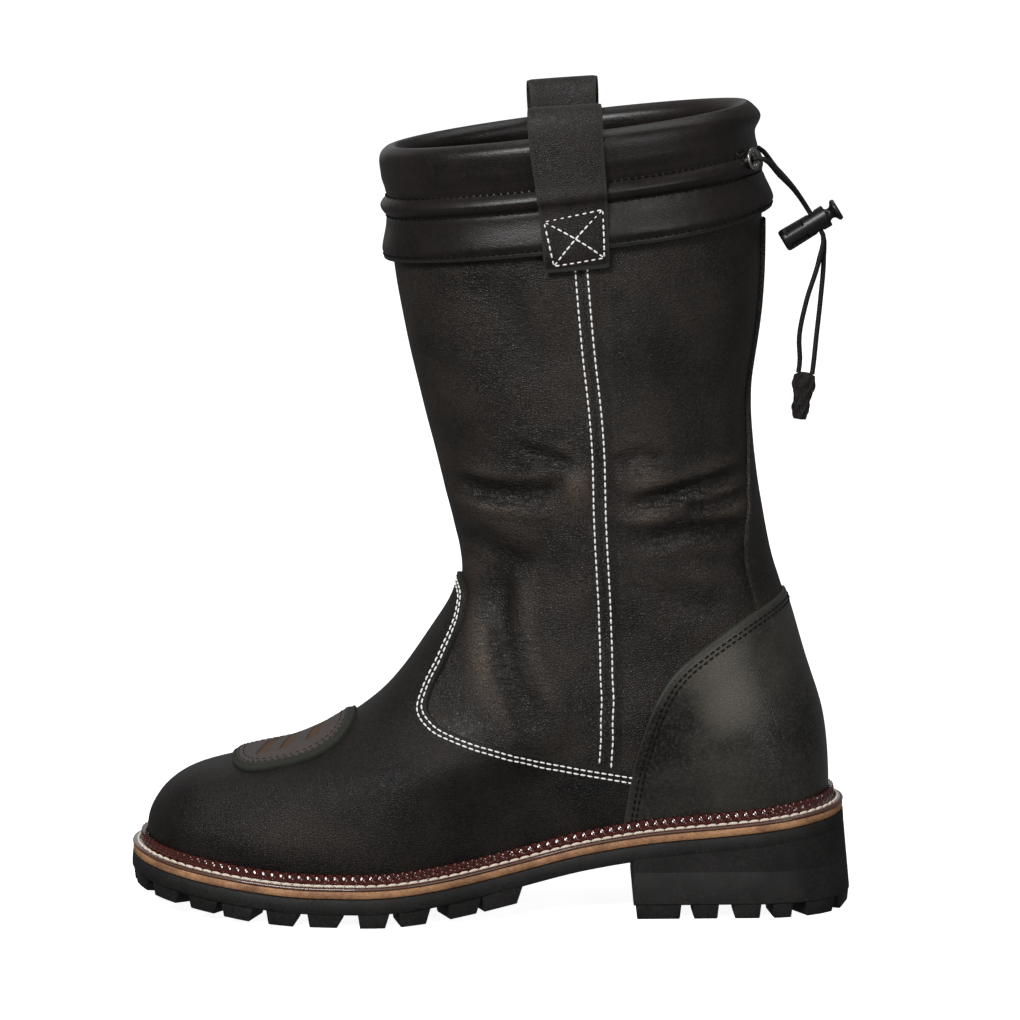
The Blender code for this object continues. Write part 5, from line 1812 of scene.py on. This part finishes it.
class BOOT_OT_side_seams(bpy.types.Operator):
    """Adds the lapped leather of the two side seams"""

    bl_idname = "boot.add_side_seams"
    bl_label = "Side seams"

    def execute(self, context):
        for side, name in SIDES:
            u, v = seam_line(side)
            places = [skin(u, v, -0.2)]
            # Painted shade under the lap's edge and along the groove between the rows, with a faint lighter
            # band beyond, fading out across the lap.
            wear = [-1.8]
            for reach in SEAM_REACHES:
                rise = SEAM_LIFT * (1 - ease(0.35 * SEAM_LAP, SEAM_LAP, reach))
                rise = rise - 0.12 * (reach == 0) - 0.04 * (reach == SEAM_LAP)
                places.append(skin(*inset(u, v, side * reach), rise))
                wear.append(-1.6 + 2.0 * ease(0.2, 2.2, reach) - 0.4 * ease(3.0, 5.0, reach))
            grid = np.stack(places)[::side, ::-1]
            marks = {"wear": np.repeat(wear[::side], len(u))}
            add_panel(f"seam_lap_{name}", grid, "Oiled_cowhide_upper", "black_leather", marks=marks)
        return {"FINISHED"}


class BOOT_OT_shift_pad(bpy.types.Operator):
    """Adds the shift pad with its printed panel and three slots"""

    bl_idname = "boot.add_shift_pad"
    bl_label = "Shift pad"

    def execute(self, context):
        turn = 2 * math.pi * turns(PAD_COLUMNS)
        top = GAP + PAD
        shares = np.linspace(0.004, 0.985, 66)
        rings = [(share, top - 0.9 * ease(PAD_BORDER_AT, 0.97, share)) for share in shares]
        rings += [(0.994, top - 1.1), (1.0, top - 1.5), (1.0, 0.0)]
        places = []
        raw = []
        slots = []
        for share, lift in rings:
            x, y = pad_plan(share, turn)
            seat, facing = dropped(x, y)
            slot = np.zeros(PAD_COLUMNS)
            for middle in SLOTS:
                apart = np.abs(x - middle - SLOT_SLANT * y), np.abs(y)
                inside = 1.0
                for distance, half, soft in zip(apart, SLOT_HALF, SLOT_EASE):
                    inside = inside * (1 - ease(half - soft, half + soft, distance))
                slot = np.maximum(slot, inside)
            places.append(seat + facing * (lift - SLOT_DEPTH * slot)[:, None])
            raw.append(np.full(PAD_COLUMNS, ease(PAD_BORDER_AT, PAD_BORDER_AT + 0.012, share)))
            slots.append(slot)
        add_panel(
            "shift_pad_leather",
            np.stack(places[::-1]),
            "Printed_split_leather_pad",
            "pad_leather",
            "shift_pad",
            marks={"raw": np.stack(raw[::-1]), "slot": np.stack(slots[::-1])},
            closed=True,
        )
        return {"FINISHED"}


class BOOT_OT_cuff(bpy.types.Operator):
    """Adds the padded collar cuff with its sewn cord channel"""

    bl_idname = "boot.add_cuff"
    bl_label = "Collar cuff"

    def execute(self, context):
        u = turns(CUFF_COLUMNS)
        rings = []
        raw = []
        for fold in cuff_rows():
            height, offset = fold[:2]
            tall, out = drawn_in(u, *fold)
            soft = np.sin(14 * math.pi * u + 0.11 * height) * np.sin(6 * math.pi * u - 0.07 * height)
            soft = CUFF_SWELL * soft * ease(-44.0, -38.0, height) * (1 - ease(3.0, 4.0, height))
            if offset > CUFF_INSIDE:
                puckers = CUFF_PUCKER * np.sin(2 * math.pi * u * CUFF_PUCKERS)
                for seam in CUFF_ROWS:
                    soft = soft - CUFF_SEAM_SINK * near(height - seam, CUFF_SEAM_HALF)
                    soft = soft + puckers * near(height - seam, CUFF_PUCKER_HALF)
            rings.append(at_rim(u, tall, out + soft))
            raw.append(np.full(CUFF_COLUMNS, 0.8 if height < CUFF_RAW_UNDER else 0.0))
        cuff = add_panel(
            "collar_cuff_leather",
            np.stack(rings),
            "Glove_leather_cuff",
            "cuff_leather",
            "collar_cuff",
            marks={"raw": np.stack(raw)},
            closed=True,
            crisp=60.0,
        )
        return {"FINISHED"}


class BOOT_OT_pull_straps(bpy.types.Operator):
    """Adds the two pull straps that stand up from the collar"""

    bl_idname = "boot.add_pull_straps"
    bl_label = "Pull straps"

    def execute(self, context):
        for strap in STRAPS:
            places, raw = strap_grid(strap)
            shape = places.shape[:2]
            faces = quads(*shape, closed=True) + end_caps(*shape)
            points = places.reshape(-1, 3)
            made = add_mesh(f"{strap.node}_leather", points, faces, ["Strap_leather"], {"raw": raw}, 50.0)
            settle(made, "strap_leather", strap.node)
        return {"FINISHED"}


class BOOT_OT_eyelets(bpy.types.Operator):
    """Adds the two rolled metal eyelets of the cord channel"""

    bl_idname = "boot.add_eyelets"
    bl_label = "Eyelets"

    def execute(self, context):
        wide, tall = EYELET_ROLL
        bend = np.linspace(-0.35 * math.pi, 1.35 * math.pi, 17)
        roll = [(tall * math.sin(a), EYELET_RING + wide * math.cos(a)) for a in bend]
        points, faces = lathe([*roll, *EYELET_SHANK], 64)
        for side, name in SIDES:
            place, normal = eyelet_place(side)
            eyelet = add_mesh(f"eyelet_ring_{name}", points, faces, ["Nickel_plated_brass"])
            turn = Vector(normal).to_track_quat("Z", "Y").to_matrix().to_4x4()
            middle = Vector(place + normal * (GAP + EYELET_WIRE)) * MM
            eyelet.matrix_world = Matrix.Translation(middle) @ turn
            settle(eyelet, "eyelet_metal", f"eyelet_{name}")
        return {"FINISHED"}


class BOOT_OT_outsole(bpy.types.Operator):
    """Adds the rubber outsole with its lugs"""

    bl_idname = "boot.add_outsole"
    bl_label = "Outsole"

    def execute(self, context):
        u = turns(SOLE_COLUMNS)
        rings = [sole_ring(u, SOLE_MARGIN - back, sheet_bottom, rise) for back, rise in OUTSOLE_EDGE]
        add_slab("outsole_rubber", rings, "Vulcanised_rubber", "rubber", "outsole")

        blocks = []
        for run in FORE_LUGS:
            outer = [lug_place(x, -1) for x in run]
            inner = [lug_place(x, 1) for x in run[::-1]]
            blocks.append(edge_lug(*outer, ground, sheet_root, (0.10, 0.22)))
            blocks.append(edge_lug(*inner, ground, sheet_root, (0.22, 0.10)))
        tip = [lug_place(FORE_LUGS[0].start - 2.0, side) for side in (-1, 1)]
        edges = np.linspace(tip[1] - 1.0, tip[0], TOE_LUGS + 1)
        slack = (edges[1] - edges[0]) * (1 - TOE_LUG_FILL) / 2
        for start, end in zip(edges[:-1], edges[1:]):
            blocks.append(edge_lug(start + slack, end - slack, ground, sheet_root))
        for start in np.arange(*MIDDLE_LUGS, MIDDLE_LUG_PITCH):
            run = Run(start, start + MIDDLE_LUG_LENGTH)
            swing = along_sole("swing", start)
            half = MIDDLE_LUG_HALF if start > TOE_MIDDLE_TO else TOE_MIDDLE_HALF
            boxes = [plan_box(run, half, draft) for draft in (LUG_DRAFT, 0.0)]
            low, high = ([(x, y + swing) for x, y in box] for box in boxes)
            blocks.append(lug(low, high, ground, sheet_root))
        settle(hull_blocks("outsole_lugs", blocks, "Vulcanised_rubber"), "rubber")
        return {"FINISHED"}


class BOOT_OT_heel(bpy.types.Operator):
    """Adds the heel block and the lugged heel lift"""

    bl_idname = "boot.add_heel"
    bl_label = "Heel"

    def execute(self, context):
        rings = [heel_ring(0.04, LIFT_TOP + GAP, rise) for rise in (-0.6, 0.0)]
        rings += [heel_ring(back, heel_block_top, rise) for back, rise in ((0.04, 0.0), (0.1, 1.5))]
        rubber = "Vulcanised_rubber"
        add_slab("heel_block_rubber", rings, rubber, "rubber", "heel_block", tail=1, crisp=40.0)
        rings = [heel_ring(back, height) for back, height in LIFT_EDGE]
        add_slab("heel_lift_rubber", rings, rubber, "rubber", "heel_lift", tail=1, crisp=40.0)

        root = LIFT_SOLID + LUG_ROOT
        bar = []
        for draft in (LUG_DRAFT, 0.0):
            ends = (BREAST_BAR.start + draft, BREAST_BAR.end - draft)
            places = [lug_place(x, side, draft) for side in (-1, 1) for x in ends[::side]]
            bar.append(lean_plan(outline(np.array(places), SOLE_MARGIN - LUG_BACK - draft)))
        blocks = [lug(*bar, 0.0, root)]
        edges = [[lug_place(x, side) for x in run] for run in HEEL_LUGS for side in (-1, 1)]
        edges.append([lug_place(BACK_LUG_FROM, side) for side in (-1, 1)])
        for places in edges:
            blocks.append(edge_lug(min(places), max(places), 0.0, root, lean=lean_plan))
        middle = [plan_box(HEEL_MIDDLE_LUG, HEEL_MIDDLE_HALF, draft) for draft in (LUG_DRAFT, 0.0)]
        blocks.append(lug(*middle, 0.0, root))
        settle(hull_blocks("heel_lugs", blocks, rubber), "rubber")
        return {"FINISHED"}


class BOOT_OT_midsole(bpy.types.Operator):
    """Adds the tan leather midsole"""

    bl_idname = "boot.add_midsole"
    bl_label = "Midsole"

    def execute(self, context):
        u = turns(SOLE_COLUMNS)
        rings = [sole_ring(u, SOLE_MARGIN - back, midsole_bottom, rise) for back, rise in MIDSOLE_EDGE]
        add_slab("midsole_leather", rings, "Burnished_tan_leather", "tan_leather", "midsole")
        return {"FINISHED"}


class BOOT_OT_welt(bpy.types.Operator):
    """Adds the storm welt with its beaded lip, and the stitches that hold it to the sole"""

    bl_idname = "boot.add_welt"
    bl_label = "Welt"

    def execute(self, context):
        lap = GAP + max(VAMP, COUNTER + COUNTER_LIFT) + 0.15
        foot = lap + LIP
        beads = int(round(sole_columns(8, foot)[1] / size("bead")))
        u, _ = sole_columns(beads * BEAD_COLUMNS, foot)
        swing = np.abs(np.arange(len(u)) / BEAD_COLUMNS % 1.0 - 0.5) * 2
        thick = WELT - WELT_LOW
        flange = (
            (SOLE_MARGIN - 0.9, 0.0, 1.0),
            (SOLE_MARGIN - 0.35, 0.3, 1.0),
            (SOLE_MARGIN - 0.3, thick - 0.9, 1.0),
            (SOLE_MARGIN - 0.55, thick - 0.45, 0.6),
            (SOLE_MARGIN - 1.1, thick - 0.12, 0.25),
            (SOLE_MARGIN - 1.9, thick, 0.05),
            (foot + 1.5, thick - 0.2, 0.0),
            (foot + 0.5, thick - 0.05, 0.0),
        )
        rings = [sole_ring(u, margin, welt_bottom, rise) for margin, rise, mark in flange]
        low = sole_ring(u, foot, welt_top, -WELT_LOW)
        level = (LIP_HEIGHT - GAP) / SECTIONS[1].front_rise
        crown = surface(u, level)
        facing = outward(u, level)
        for rise in LIP_RISES:
            groove = near(swing - 1.05 * (rise - 0.35) / 0.65, 0.2) * ease(0.3, 0.45, rise)
            bead = ease(0.45, 0.85, rise) * (1 - swing**2)
            swell = 0.3 * math.sin(math.pi * rise) + bead - LIP_GROOVE * groove
            line = low * (1 - rise) + (crown + facing * (foot - 0.5)) * rise
            place = line + facing * (swell - LIP_CHAMFER * ease(0.4, 1.0, rise))[:, None]
            place[:, 2] += 0.7 * ease(0.7, 1.0, rise) * (1 - swing**2)
            rings.append(place)
        for back, drop in ((0.8, -0.1), (LIP - 0.3, 0.6), (LIP, 2.5)):
            place = crown + facing * max(foot - 1.3 - back, lap - 0.6)
            place[:, 2] -= drop
            rings.append(place)
        rings += [sole_ring(u, -WALL - 0.1, welt_bottom, rise) for rise in (WELT, 0.0)]
        raw = np.zeros((len(rings), len(u)))
        raw[: len(flange)] = [[mark] for margin, rise, mark in flange]
        faces = quads(len(rings), len(u), closed=True, looped=True)
        points = np.concatenate(rings)
        welt = add_mesh("welt_leather", points, faces, ["Polished_storm_welt"], {"raw": raw}, 55.0)
        settle(welt, "welt_leather", "welt")

        turn = np.append(sole_columns(900, foot + 1.6)[0], 1.0)
        row = sole_ring(turn, foot + WELT_ROW, welt_top, 0.25 - WELT_LOW)
        out = outline(turn, foot + WELT_ROW + 1.0) - row[:, :2]
        facing = np.column_stack([0.45 * out, np.ones(len(out))])
        pitch = size("welt_pitch")
        thread = Thread(pitch * 1.04, WELT_THREAD, pitch, 0.35)
        made = stitches("welt_stitches", [(row, facing)], thread, "Waxed_linen_thread")
        settle(made, "welt_leather")
        return {"FINISHED"}


class BOOT_OT_insole(bpy.types.Operator):
    """Adds the insole"""

    bl_idname = "boot.add_insole"
    bl_label = "Insole"

    def execute(self, context):
        u = turns(INSOLE_COLUMNS)
        reach = -WALL - 0.1 - GAP
        rings = [
            sole_ring(u, reach, midsole_top, GAP),
            sole_ring(u, reach, feather, INSOLE_RISE - 0.4),
            sole_ring(u, reach - 0.5, feather, INSOLE_RISE),
        ]
        add_slab("insole_lining", rings, "Brushed_textile_lining", "lining", "insole")
        return {"FINISHED"}


def vamp_rows():
    rows = []
    for side, _ in SIDES:
        turn, level = vamp_edge(side)
        for distance in VAMP_ROWS:
            u, v = inset(turn * -side, level, side * distance)
            kept = u * -side > 0.0006
            rows.append(sewn(u[kept], v[kept], GAP + VAMP + SEWN_LIFT))
    return rows


def seam_rows():
    rows = []
    for side, _ in SIDES:
        for distance in (-SEAM_ROWS, SEAM_ROWS):
            u, v = inset(*seam_line(side), distance)
            over = SEAM_LIFT if distance * side > 0 else 0.0
            kept = v > np.interp(u if side < 0 else 1 - u, *vamp_edge(side)) + 0.02
            rows.append(sewn(u[kept], v[kept], over + SEWN_LIFT))
    return rows


def counter_rows():
    rows = []
    for distance in COUNTER_ROWS:
        u, v = inset(*counter_line(), -distance)
        kept = v > 0.35
        rows.append(sewn(u[kept], v[kept], GAP + COUNTER + COUNTER_LIFT + 0.12))
    return rows


def cuff_seam_rows():
    rows = []
    u = np.linspace(0.0, 1.0, 700)
    folds = cuff_rows()[:60]
    for height in CUFF_ROWS:
        inside = folds[:, 1] < CUFF_INSIDE
        tall, out = drawn_in(u, *folds[np.argmin(np.abs(folds[:, 0] - height) + 10 * inside)])
        rows.append((at_rim(u, tall, out - 0.5), normal_at(u, TOP + tall / LEVEL_HEIGHT)))
    return rows


def strap_rows():
    corners = list(STRAP_BOX)
    lines = list(zip(corners, corners[1:] + corners[:1]))
    lines += [(corners[0], corners[2]), (corners[1], corners[3])]
    return [strap_line(strap, line) for strap in STRAPS for line in lines]


def pad_rows():
    rows = []
    turn = np.linspace(0.0, 2 * math.pi, 240)
    for distance in PAD_ROWS:
        places, facing = dropped(*pad_plan(1 - distance / PAD_HALF[0], turn))
        rows.append((places + facing * (GAP + PAD - 0.15), facing))
    return rows


class BOOT_OT_stitching(bpy.types.Operator):
    """Adds the sewn rows of the vamp, counter, side seams, cuff, straps and pad"""

    bl_idname = "boot.add_stitching"
    bl_label = "Stitching"

    def execute(self, context):
        thread = Thread(size("stitch"), size("thread"), size("pitch"), 0.14)
        for name, rows, finish_name, slot in (
            ("vamp", vamp_rows(), "White_nylon_thread", "black_leather"),
            ("side_seam", seam_rows(), "White_nylon_thread", "black_leather"),
            ("counter", counter_rows(), "Black_nylon_thread", "counter_leather"),
            ("cuff", cuff_seam_rows(), "Black_nylon_thread", "cuff_leather"),
            ("strap", strap_rows(), "White_nylon_thread", "strap_leather"),
            ("pad", pad_rows(), "Black_nylon_thread", "pad_leather"),
        ):
            settle(stitches(f"{name}_stitches", rows, thread, finish_name), slot)
        return {"FINISHED"}


OPERATORS = (
    BOOT_OT_stage,
    BOOT_OT_cord_lock,
    BOOT_OT_end_tab,
    BOOT_OT_drawcords,
    BOOT_OT_upper,
    BOOT_OT_vamp,
    BOOT_OT_counter,
    BOOT_OT_back_stay,
    BOOT_OT_side_seams,
    BOOT_OT_shift_pad,
    BOOT_OT_cuff,
    BOOT_OT_pull_straps,
    BOOT_OT_eyelets,
    BOOT_OT_outsole,
    BOOT_OT_heel,
    BOOT_OT_midsole,
    BOOT_OT_welt,
    BOOT_OT_insole,
    BOOT_OT_stitching,
)


class BOOT_PT_pieces(bpy.types.Panel):
    """Lists the boot's pieces, sizes and colours"""

    bl_idname = "BOOT_PT_pieces"
    bl_label = "Motorcycle boot"
    bl_space_type = "VIEW_3D"
    bl_region_type = "UI"
    bl_category = "Boot"

    def draw(self, context):
        for group in (context.scene.boot_sizes, context.scene.boot_colours):
            for name in group.__annotations__:
                self.layout.prop(group, name)
        for operator in OPERATORS:
            self.layout.operator(operator.bl_idname)


CLASSES = (BootSizes, BootColours, *OPERATORS, BOOT_PT_pieces)


def register():
    for item in CLASSES:
        bpy.utils.register_class(item)
    bpy.types.Scene.boot_sizes = PointerProperty(type=BootSizes)
    bpy.types.Scene.boot_colours = PointerProperty(type=BootColours)


def unregister():
    del bpy.types.Scene.boot_sizes
    del bpy.types.Scene.boot_colours
    for item in reversed(CLASSES):
        bpy.utils.unregister_class(item)


def main():
    register()
    for operator in OPERATORS:
        group, name = operator.bl_idname.split(".")
        getattr(getattr(bpy.ops, group), name)()


if __name__ == "__main__":
    main()
